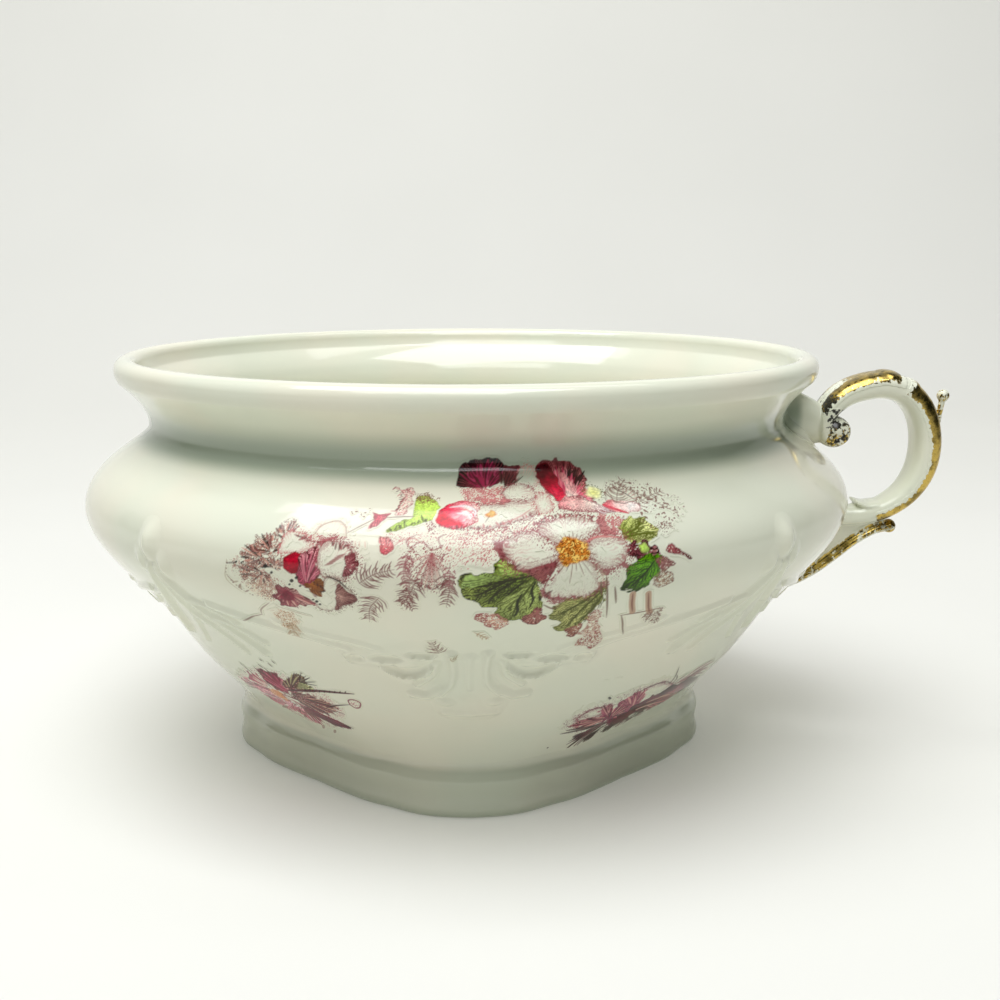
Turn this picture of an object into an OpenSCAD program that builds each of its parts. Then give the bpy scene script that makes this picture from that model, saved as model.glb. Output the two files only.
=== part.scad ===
// White pottery chamber pot: a round bowl on a lobed foot, with a rolled rim, one scroll handle
// with a thumb spur, raised ornament, printed flower sprays and worn gilding.
// Millimetres, +Z up. The origin is on the table under the centre of the bowl.
// The front of the pot faces -Y and its handle faces +X.

/* [Bowl] */
// Height from the table to the top of the rim
pot_h = 131.7; // [124:0.1:142]
// Outside diameter of the rim
rim_d = 228; // [220:1:238]
// Thickness of the round roll that edges the rim
rim_roll_d = 7.2; // [6:0.1:8.4]
// Outside diameter of the neck where it is narrowest
neck_d = 207.6; // [200:0.2:214]
// Depth of the narrowest part of the neck below the top of the rim
neck_drop = 21.2; // [19:0.1:24]
// Outside diameter of the shoulder
shoulder_d = 249.2; // [240:0.2:258]
// Height of the widest part of the shoulder
shoulder_z = 85.5; // [80:0.5:90]
// Outside diameter halfway up the side of the bowl
flank_d = 198; // [190:0.5:206]
// Height at which the halfway diameter is measured
flank_z = 50; // [46:0.5:54]
// Outside diameter where the bowl stands on its foot
crease_d = 155; // [148:0.5:158]
// Thickness of the bowl's wall
wall = 5.5; // [4.5:0.1:6.5]
// Thickness of the bowl's floor
floor_t = 6; // [4.5:0.5:8]
// Radius that rounds the floor into the wall inside the bowl
floor_round = 14; // [10:1:18]

/* [Foot] */
// Height of the foot ring
foot_h = 14.5; // [12:0.5:17]
// Distance from the centre to the tip of each of the four round lobes
lobe_reach = 79; // [77:0.5:82]
// Radius of each lobe
lobe_r = 38; // [35:0.5:41]
// Distance from the centre to the long flat sides between the lobes
foot_flat = 69.1; // [67:0.1:71]
// Distance from the centre to the short straight sides beside each lobe
foot_side = 67; // [65.5:0.1:69]
// Thickness of the foot ring
foot_wall = 8; // [6:0.5:10]
// Set-back of the lower bowl behind the outline of the foot
foot_ledge = 1.2; // [0.6:0.1:2]
// Height at which the flats of the lower bowl run out into the round
flat_fade_z = 38; // [34:0.5:42]

/* [Handle] */
// How far the handle's back stands out beyond the shoulder
handle_out = 34.4; // [28:0.2:42]
// Depth of the top of the arch below the top of the rim
arch_drop = 7.4; // [6:0.1:10]
// How far the top of the arch lies beyond the shoulder
arch_out = 14.4; // [11:0.2:18]
// Thickness of the handle, from its inner face to its back
handle_t = 9.2; // [7.5:0.1:10.5]
// Width of the handle, across its back
handle_w = 17; // [13:0.5:20]
// Thickness of the handle at its lower end
low_t = 7; // [5.5:0.1:8]
// Width of the handle at its lower end
low_w = 13; // [10:0.5:15]
// Height of the lower end of the handle below the shoulder
low_drop = 9.5; // [7:0.1:12]
// Radius of the scroll that curls under the arch
volute_r = 6.4; // [5:0.1:7.5]
// Depth of the scroll's centre below the narrowest part of the neck
volute_drop = 4.5; // [3:0.1:6]
// How far the scroll's centre stands out from the neck
volute_out = 18; // [16:0.2:20]
// Width of the block that roots the arch and the scroll on the neck
root_w = 14; // [11:0.5:16]
// Width of the tail leaf
tail_w = 8; // [6:0.5:10]
// Length of the tail leaf down the bowl, below the lower end of the handle
tail_len = 26; // [20:0.5:30]
// Radius of the bead that ends the tail leaf
tail_bead_r = 1.9; // [1.5:0.1:2.4]
// Height of the thumb spur's ball above its root
spur_h = 12; // [9:0.5:15]
// Lean of the thumb spur away from the pot, in degrees
spur_lean = 7; // [0:1:12]
// Radius of the thumb spur's stalk
spur_r = 1.3; // [1:0.1:1.8]
// Radius of the thumb spur's ball
spur_ball_r = 2.2; // [1.8:0.1:2.8]

/* [Slip joints] */
// Thickness of the slip that sticks the handle to the bowl
slip_t = 0.8; // [0.4:0.1:1.4]
// How far the slip is squeezed out past the edge of each joint
slip_margin = 1.4; // [0.6:0.1:2.2]

/* [Ornament] */
// Height of the raised ornament above the glaze
relief_h = 1.2; // [0.6:0.1:1.8]
// Depth of the palmettes' centres below the shoulder
palmette_drop = 41; // [38:0.5:44]
// Length of the tallest leaf of a palmette
palmette_leaf = 16; // [12:0.5:18]
// Radius of the C-scrolls beside each palmette
scroll_r = 5; // [4:0.2:6]
// Breadth of the ribs that make up the scrolls and tendrils
rib_w = 2.2; // [1.6:0.1:2.8]
// Depth of the pendant buds below the shoulder
pendant_drop = 4; // [2:0.5:7]
// Length of each pendant bud
bud_len = 8; // [6:0.5:10]
// Length of the long ribs that hang from each shoulder bud
pendant_len = 26; // [22:0.5:30]
// Gap between the raised ornament and the slip of the handle's tail
relief_gap = 0.4; // [0.2:0.1:1]
// Radius of the large printed rose, which sets the scale of the spray
rose_r = 11; // [9:0.5:13]
// Radius of the roses in the small printed sprigs
sprig_rose_r = 6; // [5:0.5:7]
// Thickness of the printed and gilded films
film = 0.2; // [0.15:0.01:0.4]
// Breadth of the gilded band along the tail leaf
tail_gilt_w = 5; // [3:0.5:6]

/* [Hidden] */
$fn = 64;
far = 400;
glaze = "#f1f1ea";
gilt = "#b58a2e";

// Points of the bowl's outer profile, as [radius, height]
neck_z = pot_h - neck_drop;
rim_z = pot_h - rim_roll_d / 2;
rim_r = (rim_d - rim_roll_d) / 2;
crease = [crease_d / 2, foot_h];
flank = [flank_d / 2, flank_z];
shoulder = [shoulder_d / 2, shoulder_z];
neck = [neck_d / 2, neck_z];
lip = [rim_r + 0.36 * rim_roll_d, rim_z - 0.5 * rim_roll_d];
floor_z = foot_h + floor_t;

// A point on a cubic curve given by four control points
function bez(p, t) =
  pow(1 - t, 3) * p[0] + 3 * t * pow(1 - t, 2) * p[1] + 3 * t * t * (1 - t) * p[2] + pow(t, 3) * p[3];

// Points along such a curve, without its last one
function curve(p, n) = [for (i = [0:n - 1]) bez(p, i / n)];

function reversed(list) = [for (i = [len(list) - 1:-1:0]) list[i]];

// The flank leans as the line from the crease to the shoulder does
lean = (shoulder - crease) / (shoulder_z - foot_h);
low_rise = flank_z - foot_h;
high_rise = shoulder_z - flank_z;
neck_rise = neck_z - shoulder_z;
profile = concat(
  curve([crease, crease + [0, 0.22 * low_rise], flank - 0.34 * low_rise * lean, flank], 8),
  curve([flank, flank + 0.34 * high_rise * lean, shoulder - [0, 0.31 * high_rise], shoulder], 9),
  curve([shoulder, shoulder + [0, 0.55 * neck_rise], neck - [0, 0.24 * neck_rise], neck], 12),
  curve([neck, neck + [0, 0.43 * (lip[1] - neck_z)],
    lip - [0.45 * (lip[0] - neck[0]), 0.27 * (lip[1] - neck_z)], lip], 8),
  [lip]);

// The profile moved outwards by a distance, square to itself
function tangent(i) = profile[min(i + 1, len(profile) - 1)] - profile[max(i - 1, 0)];
function moved(out) =
  [for (i = [0:len(profile) - 1]) profile[i] + out * [tangent(i)[1], -tangent(i)[0]] / norm(tangent(i))];

// Radius of the bowl's outside at a height
radius_table = [for (p = profile) [p[1], p[0]]];
function radius_at(z) = lookup(z, radius_table);

// Inside of the bowl, from the floor up to the rim
inner_wall = [for (p = moved(-wall)) if (p[1] > floor_z + floor_round / 2) p];
floor_edge = [inner_wall[0][0] - floor_round, floor_z];
inner_turn = curve([floor_edge, floor_edge + [0.7 * floor_round, 0],
  inner_wall[0] - [0.3 * floor_round, 0.4 * floor_round], inner_wall[0]], 5);

// Corner of the foot between a flat side and a lobe, where the lower bowl has a facet
corner = [foot_flat * sqrt(2) - foot_side, foot_side];
corner_turn = atan2(corner[0], corner[1]);
facet_fade_z = foot_h + 0.75 * (flat_fade_z - foot_h);

// Cut through the lower bowl: its face leans out from a distance at the foot to meet the round bowl higher up
facet_clear = wall / 10;
module facet_cut(turn, distance, fade_z, out) {
  at_foot = [distance + out, foot_h];
  at_top = [radius_at(fade_z) + facet_clear + out, fade_z];
  below = 2 * at_foot - at_top;
  rotate([0, 0, turn]) rotate([90, 0, 0]) translate([0, 0, -far / 2]) linear_extrude(far)
    polygon([below, at_top, [far, fade_z], [far, below[1]]]);
}

// The bowl filled solid and grown by a distance, round all the way down
module round_bowl(out = 0) {
  rotate_extrude() {
    polygon(concat([[0, foot_h], [crease[0] + out, foot_h]],
      [for (p = moved(out)) if (p[1] > foot_h + out) p], [[0, lip[1]]]));
    translate([rim_r, rim_z]) circle(rim_roll_d / 2 + out);
    translate([0, rim_z - rim_roll_d / 2]) square([rim_r, rim_roll_d]);
  }
}

// The same with the flats and facets that its lower part takes from the foot
module filled_bowl(out = 0) {
  difference() {
    round_bowl(out);
    for (turn = [45:90:315]) facet_cut(turn, foot_flat - foot_ledge, flat_fade_z, out);
    for (turn = [0:90:270], side = [-1, 1])
      facet_cut(turn + side * corner_turn, norm(corner) - foot_ledge, facet_fade_z, out);
  }
}

// Layer of a thickness on the round part of the bowl, between two heights, where the children reach
module on_bowl(thickness, low, high) {
  outer = moved(thickness);
  within = [for (i = [0:len(profile) - 1]) if (profile[i][1] > low && profile[i][1] < high) i];
  intersection() {
    rotate_extrude()
      polygon(concat([for (i = within) profile[i]], [for (i = reversed(within)) outer[i]]));
    union() children();
  }
}

// Layer of a thickness on the lower bowl, flats and facets included, where the children reach
module on_lower_bowl(thickness) {
  difference() {
    intersection() { filled_bowl(thickness); children(); }
    filled_bowl();
  }
}

// Bowl, shoulder, neck and rim in one casting
module pot_body() {
  color(glaze) difference() {
    filled_bowl();
    rotate_extrude() difference() {
      polygon(concat([[0, floor_z]], inner_turn, inner_wall, [[rim_r, far], [0, far]]));
      translate([rim_r, rim_z]) circle(rim_roll_d / 2);
    }
  }
}

// Outline of the foot, drawn in by a distance
module foot_outline(inset = 0) {
  intersection_for (turn = [0, 45])
    rotate(turn) square(2 * ((turn == 0 ? foot_side : foot_flat) - inset), center = true);
  for (turn = [0:90:270]) rotate(turn) translate([lobe_reach - lobe_r, 0]) circle(lobe_r - inset);
}

// Four-lobed foot ring, stuck on under the bowl
module foot_ring() {
  color(glaze) linear_extrude(foot_h) difference() { foot_outline(); foot_outline(foot_wall); }
}

// Handle: points are [distance from the pot's axis, height] in the plane of the handle
arch_z = pot_h - arch_drop - handle_t / 2;
back_x = shoulder[0] + handle_out - handle_t / 2;
arch_x = shoulder[0] + arch_out;
back_z = (arch_z + shoulder_z - 0.65 * handle_t) / 2;
low_z = shoulder_z - low_drop;
low_x = arch_x - 0.2 * handle_t;
volute = [neck[0] + volute_out, neck_z - volute_drop];
rooted = neck[0] - wall;
low_root_z = low_z - 0.14 * low_t;
loop = [
  [[rooted, neck_z], [neck[0] + handle_t, arch_z - 0.1 * handle_t],
    [arch_x - 1.3 * handle_t, arch_z], [arch_x, arch_z]],
  [[arch_x, arch_z], [arch_x + handle_t, arch_z], [back_x, arch_z - handle_t], [back_x, back_z]],
  [[back_x, back_z], [back_x, back_z - handle_t], [back_x - 0.45 * handle_t, low_z + 0.3 * handle_t],
    [low_x, low_z]],
  [[low_x, low_z], [low_x - 0.9 * handle_t, low_root_z], [shoulder[0], low_root_z], [rooted, low_root_z]]];
steps = 6;
sides = 12;

function loop_at(u) = let (k = min(floor(u), len(loop) - 1)) bez(loop[k], u - k);
function loop_heading(u) =
  let (d = loop_at(min(u + 0.01, len(loop))) - loop_at(max(u - 0.01, 0))) d / norm(d);

// The handle thins from the foot of its back down to its lower end
function thinning(u) = min(max(u - 2, 0), 1);
function half_t(u) = (handle_t + thinning(u) * (low_t - handle_t)) / 2;
function half_w(u) = (handle_w + thinning(u) * (low_w - handle_w)) / 2;

// One point of the handle's oval section, at a place along the loop and a turn from the back
function loop_point(u, turn, out = 0) =
  let (c = loop_at(u), h = loop_heading(u),
    rise = (half_t(u) + out) * cos(turn), across = (half_w(u) + out) * sin(turn))
  [c[0] - h[1] * rise, across, c[1] + h[0] * rise];

// Solid skin over a row of closed rings of points
module skin(rings) {
  n = len(rings[0]);
  last = len(rings) - 1;
  polyhedron([for (ring = rings) each ring], concat(
    [for (i = [0:last - 1], k = [0:n - 1]) [i * n + k, i * n + (k + 1) % n, (i + 1) * n + k]],
    [for (i = [0:last - 1], k = [0:n - 1])
      [i * n + (k + 1) % n, (i + 1) * n + (k + 1) % n, (i + 1) * n + k]],
    [[for (k = [n - 1:-1:0]) k]],
    [[for (k = [0:n - 1]) last * n + k]]));
}

// Plate in the plane of the handle, from a drawing of it
module handle_plate(width) {
  rotate([90, 0, 0]) translate([0, 0, -width / 2]) linear_extrude(width) children();
}

// Lower edge of the tail leaf, from its bead in to the bowl
tail_z = low_z - tail_len;
tail_tip = [low_x + 0.7 * low_t, low_z - 0.57 * low_t];
tail_end = [radius_at(tail_z) - wall / 2, tail_z];
tail_edge = concat(curve([tail_tip, tail_tip - tail_len * [0.5, 0.1], tail_end + tail_len * [0.65, 0.38],
  tail_end], 8), [tail_end]);

module tail_leaf() {
  polygon(concat(tail_edge, [[rooted, tail_z], [rooted, low_z], [low_x, low_z]]));
  translate(tail_tip - [tail_bead_r, 0]) circle(tail_bead_r);
}

// Block under the arch, with the scroll that curls towards the finger gap
root_low_z = volute[1] - 1.15 * volute_r;
module scroll_root() {
  translate(volute) circle(volute_r);
  polygon([[rooted, root_low_z], [volute[0] - 0.3 * volute_r, root_low_z],
    volute + volute_r * [0.8, 0.6], [volute[0] + 0.6 * volute_r, arch_z], [rooted, arch_z]]);
}

// Thumb spur: a thin stalk on the handle's back, with a ball on its end
module thumb_spur() {
  root = loop_at(1.8);
  translate([root[0] + handle_t / 2 - spur_r, 0, root[1]]) rotate([0, spur_lean, 0]) {
    cylinder(h = spur_h, r = spur_r);
    translate([0, 0, spur_h]) sphere(spur_ball_r);
  }
}

// Scroll handle with its root, thumb spur and tail leaf, in one casting
module handle() {
  color(glaze) difference() {
    union() {
      skin([for (i = [0:len(loop) * steps])
        [for (k = [0:sides - 1]) loop_point(i / steps, 360 * k / sides)]]);
      handle_plate(root_w) scroll_root();
      handle_plate(tail_w) tail_leaf();
      thumb_spur();
    }
    round_bowl(slip_t);
  }
}

// Slip under the root of the arch and the scroll
module upper_slip_joint() {
  low_edge = root_low_z - slip_margin;
  color("#e6e6dd") on_bowl(slip_t, flank_z, rim_z) translate([0, -handle_w / 2 - slip_margin, low_edge])
    cube([far, handle_w + 2 * slip_margin, rim_z - rim_roll_d / 2 - low_edge]);
}

// Where the slip lies under the lower end of the handle and down the tail leaf, with some room round it
module lower_slip_place(room = 0) {
  edge = slip_margin + room;
  block_h = low_t + 2 * edge;
  translate([0, -low_w / 2 - edge, low_root_z - block_h / 2]) cube([far, low_w + 2 * edge, block_h]);
  translate([0, -tail_w / 2 - edge, tail_z - edge]) cube([far, tail_w + 2 * edge, low_z - tail_z]);
}

// Slip under the lower end of the handle and down the tail leaf
module lower_slip_joint() {
  color("#e6e6dd") on_bowl(slip_t, foot_h, neck_z) lower_slip_place();
}

// Drawing laid on the front of the bowl and turned round it, straight in from outside
module from_outside(turn) {
  rotate([0, 0, turn]) rotate([90, 0, 0]) linear_extrude(far) children();
}

// Pointed leaf, from its stalk upwards
leaf_steps = 6;
function leaf_side(length, breadth, side) =
  [for (i = [0:leaf_steps - 1]) let (t = (side > 0 ? i : leaf_steps - i) / leaf_steps)
    [side * breadth / 2 * sin(180 * t), length * t]];
module leaf(length, breadth) {
  polygon(concat(leaf_side(length, breadth, 1), leaf_side(length, breadth, -1)));
}

// Curved rib: part of a ring, between two turns
rib_steps = 8;
function arc(r, from, to) =
  [for (i = [0:rib_steps]) let (a = from + i * (to - from) / rib_steps) r * [cos(a), sin(a)]];
module rib(r, open) {
  polygon(concat(arc(r + rib_w / 2, open[0], open[1]), arc(r - rib_w / 2, open[1], open[0])));
}

// Four palmettes of five leaves, each over a small fan and a bar
palmette_z = shoulder_z - palmette_drop;
eye_r = palmette_leaf / 4;
module palmette() {
  for (k = [-2:2]) translate([0, palmette_z]) rotate(28 * k) translate([0, eye_r])
    leaf(palmette_leaf * (0.8 - 0.1 * abs(k)), palmette_leaf / 4);
  for (k = [-1:1]) translate([0, palmette_z]) rotate(180 + 40 * k) translate([0, eye_r / 2])
    leaf(palmette_leaf / 3, palmette_leaf / 8);
  translate([-palmette_leaf / 2, palmette_z - 0.6 * palmette_leaf]) square([palmette_leaf, rib_w]);
}
module palmette_reliefs() {
  color(glaze) difference() {
    on_bowl(relief_h, foot_h, shoulder_z) for (turn = [0:90:270]) from_outside(turn) palmette();
    lower_slip_place(relief_gap);
  }
}

// C-scrolls on both sides of each palmette, with the tendrils that rise from them
scroll_turn = 11;
scroll_z = palmette_z + palmette_leaf / 2;
scroll_open = [-150, 80];
tendril_r = 4 * scroll_r;
tendril_open = [-118, -62];
module scroll_reliefs() {
  color(glaze) on_bowl(relief_h, foot_h, neck_z) for (turn = [0:90:270], side = [-1, 1]) {
    from_outside(turn + side * scroll_turn) translate([0, scroll_z]) scale([side, 1])
      rib(scroll_r, scroll_open);
    from_outside(turn + side * 2.3 * scroll_turn) translate([0, scroll_z + 1.25 * tendril_r])
      scale([side, 1]) rib(tendril_r, tendril_open);
  }
}

// A bud under the shoulder between each pair of palmettes, with the ribs that hang from it
pendant_z = shoulder_z - pendant_drop;
long_rib_w = 0.12 * pendant_len;
module pendant() {
  translate([0, pendant_z - 0.4 * bud_len]) leaf(bud_len, 0.6 * bud_len);
  for (side = [-1, 1]) {
    translate([0.7 * side * long_rib_w, pendant_z - 0.6 * bud_len]) rotate(180 + side * 8)
      leaf(pendant_len, long_rib_w);
    translate([1.9 * side * long_rib_w, pendant_z - 0.6 * pendant_len]) rotate(180 + side * 38)
      leaf(0.6 * pendant_len, long_rib_w);
  }
}
module pendant_reliefs() {
  color(glaze) on_bowl(relief_h, foot_h, neck_z)
    for (turn = [45:90:315]) from_outside(turn) pendant();
}

// Strip of gold on the handle's back, between two places along the loop, clear of the bowl
module loop_gilding(from, to, half_turn) {
  first = round(from * steps);
  last = round(to * steps);
  reach = round(half_turn * sides / 360);
  color(gilt) difference() {
    skin([for (i = [first:last]) concat(
      [for (k = [-reach:reach]) loop_point(i / steps, 360 * k / sides, film)],
      [for (k = [reach:-1:-reach]) loop_point(i / steps, 360 * k / sides)])]);
    round_bowl(slip_t);
  }
}
module arch_gilding() { loop_gilding(0.55, 1.2, 45); }
module spine_gilding() { loop_gilding(2, 3, 45); }

// Gold along the under edge of the tail leaf
module tail_gilding() {
  edge = [for (p = tail_edge) if (p[0] < tail_tip[0] - 3 * tail_bead_r) p];
  lowered = [for (p = edge) p - [0, film]];
  color(gilt) difference() {
    handle_plate(tail_gilt_w) polygon(concat(edge, reversed(lowered)));
    round_bowl(slip_t);
  }
}

// Printed flowers: an open rose of round petals, and a leaf that points a way
module printed_rose(turn, z, r) {
  from_outside(turn) translate([0, z])
    for (k = [0:4]) rotate(72 * k) translate([0, r / 2]) circle(r / 2, $fn = 12);
}
module printed_leaf(turn, z, length, points) {
  from_outside(turn) translate([0, z]) rotate(points) translate([0, -length / 2]) leaf(length, length / 2.4);
}

// Large spray across the shoulder
module spray(turn) {
  on_bowl(film, flank_z, rim_z) {
    printed_rose(turn + 12, shoulder_z + 0.45 * rose_r, rose_r);
    for (at = [[3, 1.8], [13, 1.6], [3, 1.2]])
      printed_rose(turn + at[0], shoulder_z + at[1] * rose_r, 0.55 * rose_r);
    printed_rose(turn - 20, shoulder_z - 0.2 * rose_r, 0.9 * rose_r);
    for (at = [[-5, 1.2, 40], [4, -0.55, 120], [14, -1.1, 200],
        [21, -0.1, 250], [22, 0.7, 300], [-10, -0.35, 80]])
      printed_leaf(turn + at[0], shoulder_z + at[1] * rose_r, 1.5 * rose_r, at[2]);
  }
}
module front_spray_print() { color("#b0557a") spray(0); }
module back_spray_print() { color("#b0557a") spray(180); }

// Two small sprigs low on the bowl
sprig_z = shoulder_z - 8 * sprig_rose_r;
module sprigs(turn) {
  on_lower_bowl(film) {
    for (at = [[-39, 0], [46, -0.3]])
      printed_rose(turn + at[0], sprig_z + at[1] * sprig_rose_r, sprig_rose_r);
    for (at = [[-31, 0, 270], [-23, 0.1, 280], [24, -2.3, 300], [33, -1.3, 295]])
      printed_leaf(turn + at[0], sprig_z + at[1] * sprig_rose_r, 2.3 * sprig_rose_r, at[2]);
  }
}
module front_sprig_prints() { color("#9a5c7c") sprigs(0); }
module back_sprig_prints() { color("#9a5c7c") sprigs(180); }

pot_body();
foot_ring();
handle();
upper_slip_joint();
lower_slip_joint();
palmette_reliefs();
scroll_reliefs();
pendant_reliefs();
arch_gilding();
spine_gilding();
tail_gilding();
front_spray_print();
front_sprig_prints();
back_spray_print();
back_sprig_prints();
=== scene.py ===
import math

import bmesh
import bpy
import numpy as np
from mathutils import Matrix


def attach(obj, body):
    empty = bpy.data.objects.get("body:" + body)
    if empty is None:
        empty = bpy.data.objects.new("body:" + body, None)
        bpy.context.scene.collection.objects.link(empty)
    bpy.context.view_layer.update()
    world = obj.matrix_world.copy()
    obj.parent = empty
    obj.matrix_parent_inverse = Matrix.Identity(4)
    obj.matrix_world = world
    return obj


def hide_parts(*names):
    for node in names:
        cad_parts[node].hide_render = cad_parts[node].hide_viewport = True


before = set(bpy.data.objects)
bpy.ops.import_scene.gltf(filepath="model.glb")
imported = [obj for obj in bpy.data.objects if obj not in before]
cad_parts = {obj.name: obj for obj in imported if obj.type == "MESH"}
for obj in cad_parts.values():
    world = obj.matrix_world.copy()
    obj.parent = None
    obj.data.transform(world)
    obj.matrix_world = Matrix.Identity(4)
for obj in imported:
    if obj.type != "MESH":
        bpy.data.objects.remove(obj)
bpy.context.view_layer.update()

# Camera
# Stands in front of the pot and a little above its rim, as the photograph was taken.
MM = 0.001
bpy.ops.object.camera_add(location=(0, -463.955 * MM, 168.702 * MM),
                          rotation=(math.pi / 2 - 0.187, 0.001, -0.023))
camera = bpy.context.object
camera.data.lens = 50.14
camera.data.sensor_width = 36
camera.data.clip_start = 0.01
bpy.context.scene.camera = camera

# Pot body
# The bowl, shoulder, neck and rolled rim are one pressed pottery shell under a clear glossy glaze.
# Its lower part is flattened on four sides where it stands on the lobed foot.
CREASE, FLANK, SHOULDER, NECK, LIP = np.array(
    [(77.5, 14.5), (99.0, 50.0), (124.6, 85.5), (103.8, 110.5), (113.0, 124.5)])
FOOT_H = CREASE[1]
WALL = 5.5
RIM_ROLL = [(113.5, 125.6), (113.9, 126.9), (114.0, 128.3), (113.6, 129.8), (112.6, 130.9),
            (111.2, 131.6), (109.7, 131.7), (108.3, 131.2), (107.3, 130.2), (106.9, 128.9)]
FLOOR_Z = 20.5
FLOOR_TURN = [(76.2, 28.6), (74.2, 25.2), (70.9, 22.5), (66.2, 20.9), (61.0, FLOOR_Z),
              (40.0, FLOOR_Z), (20.0, FLOOR_Z), (0.0, FLOOR_Z)]
LEAN = (SHOULDER - CREASE) / (SHOULDER[1] - CREASE[1])


def bezier(a, b, c, d, count):
    t = np.linspace(0, 1, count, endpoint=False)[:, None]
    return (1 - t)**3 * a + 3 * t * (1 - t)**2 * b + 3 * t * t * (1 - t) * c + t**3 * d


def outer_profile(count):
    low, high = FLANK[1] - CREASE[1], SHOULDER[1] - FLANK[1]
    up, flare = NECK[1] - SHOULDER[1], LIP - NECK
    rise = np.array([0, 1])
    return np.vstack([
        bezier(CREASE, CREASE + 0.22 * low * rise, FLANK - 0.34 * low * LEAN, FLANK, count),
        bezier(FLANK, FLANK + 0.34 * high * LEAN, SHOULDER - 0.31 * high * rise, SHOULDER, count),
        bezier(SHOULDER, SHOULDER + 0.55 * up * rise, NECK - 0.24 * up * rise, NECK, count),
        bezier(NECK, NECK + 0.43 * flare[1] * rise, LIP - flare * (0.45, 0.27), LIP, count),
        [LIP]])


def outward(profile):
    step = np.gradient(profile, axis=0)
    square = np.stack([step[:, 1], -step[:, 0]], 1)
    return square / np.linalg.norm(square, axis=1)[:, None]


FINE = outer_profile(120)
FINE_OUT = outward(FINE)
UP_THE_SIDE = np.concatenate([[0], np.cumsum(np.linalg.norm(np.diff(FINE, axis=0), axis=1))])

# Outline of the foot on the table, as radii by turn from the middle of a lobe
LOBE_REACH = 79.0
OUTLINE_TURN = [0, 6, 9, 12, 15, 18, 21.5, 24.5, 28.5, 33, 37.5, 42, 45]
OUTLINE_R = [LOBE_REACH, 78.6, 78.2, 77.4, 76.2, 74.8, 73.8, 73.3, 72.2, 70.9, 70.0, 69.4, 69.1]
OUTLINE_EVERY = np.arange(0, 45.5, 0.5)
OUTLINE_SOFT = np.interp(OUTLINE_EVERY, OUTLINE_TURN, OUTLINE_R)
for _ in range(6):
    OUTLINE_SOFT[1:-1] = (OUTLINE_SOFT[:-2] + 2 * OUTLINE_SOFT[1:-1] + OUTLINE_SOFT[2:]) / 4
CREASE_TO_OUTLINE = 0.968
FLAT_FADE_Z = 40


def foot_outline(turn):
    within = np.abs((np.asarray(turn) + 45) % 90 - 45)
    return np.interp(within, OUTLINE_EVERY, OUTLINE_SOFT)


def flattening(turn, z):
    """How far the lower bowl lies inside the round, at a turn in degrees and a height."""
    left = np.clip((FLAT_FADE_Z - z) / (FLAT_FADE_Z - FOOT_H), 0, 1)
    return (CREASE[0] - CREASE_TO_OUTLINE * foot_outline(turn)) * left**1.5


def on_side(turn, up, lift=0.0):
    """Points in metres on the bowl's outside: turn in degrees from the front, up in mm along it."""
    r, z, out_r, out_z = (np.interp(up, UP_THE_SIDE, column)
                          for column in (FINE[:, 0], FINE[:, 1], FINE_OUT[:, 0], FINE_OUT[:, 1]))
    r = r - flattening(turn, z) + lift * out_r
    a = np.radians(turn)
    return np.stack([r * np.sin(a), -r * np.cos(a), z + lift * out_z], -1) * MM


def start(name):
    """Names the object just added, alone in the selection, and opens it for editing."""
    made = bpy.context.object
    made.name = made.data.name = name
    bpy.ops.object.mode_set(mode="EDIT")
    bpy.ops.mesh.select_all(action="SELECT")
    return made


TURN_STEPS = 240


def lathe(name, profile):
    """Shell turned from a profile of (radius, height) points in mm."""
    bpy.ops.object.select_all(action="DESELECT")
    bpy.ops.mesh.primitive_plane_add(size=MM, location=(0, 0, 0))
    made = start(name)
    bpy.ops.mesh.merge(type="CENTER")
    first = profile[0]
    bpy.ops.transform.translate(value=(first[0] * MM, 0, first[1] * MM))
    for a, b in zip(profile[:-1], profile[1:]):
        step = ((b[0] - a[0]) * MM, 0, (b[1] - a[1]) * MM)
        bpy.ops.mesh.extrude_vertices_move(TRANSFORM_OT_translate={"value": step})
    bpy.ops.mesh.select_all(action="SELECT")
    bpy.ops.mesh.spin(steps=TURN_STEPS, angle=2 * math.pi, center=(0, 0, 0), axis=(0, 0, 1))
    close()
    return made


def close():
    """Merges what touches, turns all faces outwards and ends the editing."""
    bpy.ops.mesh.select_all(action="SELECT")
    bpy.ops.mesh.remove_doubles(threshold=0.00001)
    bpy.ops.mesh.normals_make_consistent(inside=False)
    bpy.ops.object.mode_set(mode="OBJECT")
    bpy.ops.object.shade_smooth()


def points_of(made):
    co = np.empty(len(made.data.vertices) * 3)
    made.data.vertices.foreach_get("co", co)
    return co.reshape(-1, 3)


def set_points(made, co):
    made.data.vertices.foreach_set("co", np.asarray(co, np.float32).ravel())
    made.data.update()


def round_places(made):
    """Points of a piece in mm, with their turn and radius round the axis."""
    co = points_of(made) / MM
    return co, np.degrees(np.arctan2(co[:, 0], -co[:, 1])), np.hypot(co[:, 0], co[:, 1])


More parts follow.
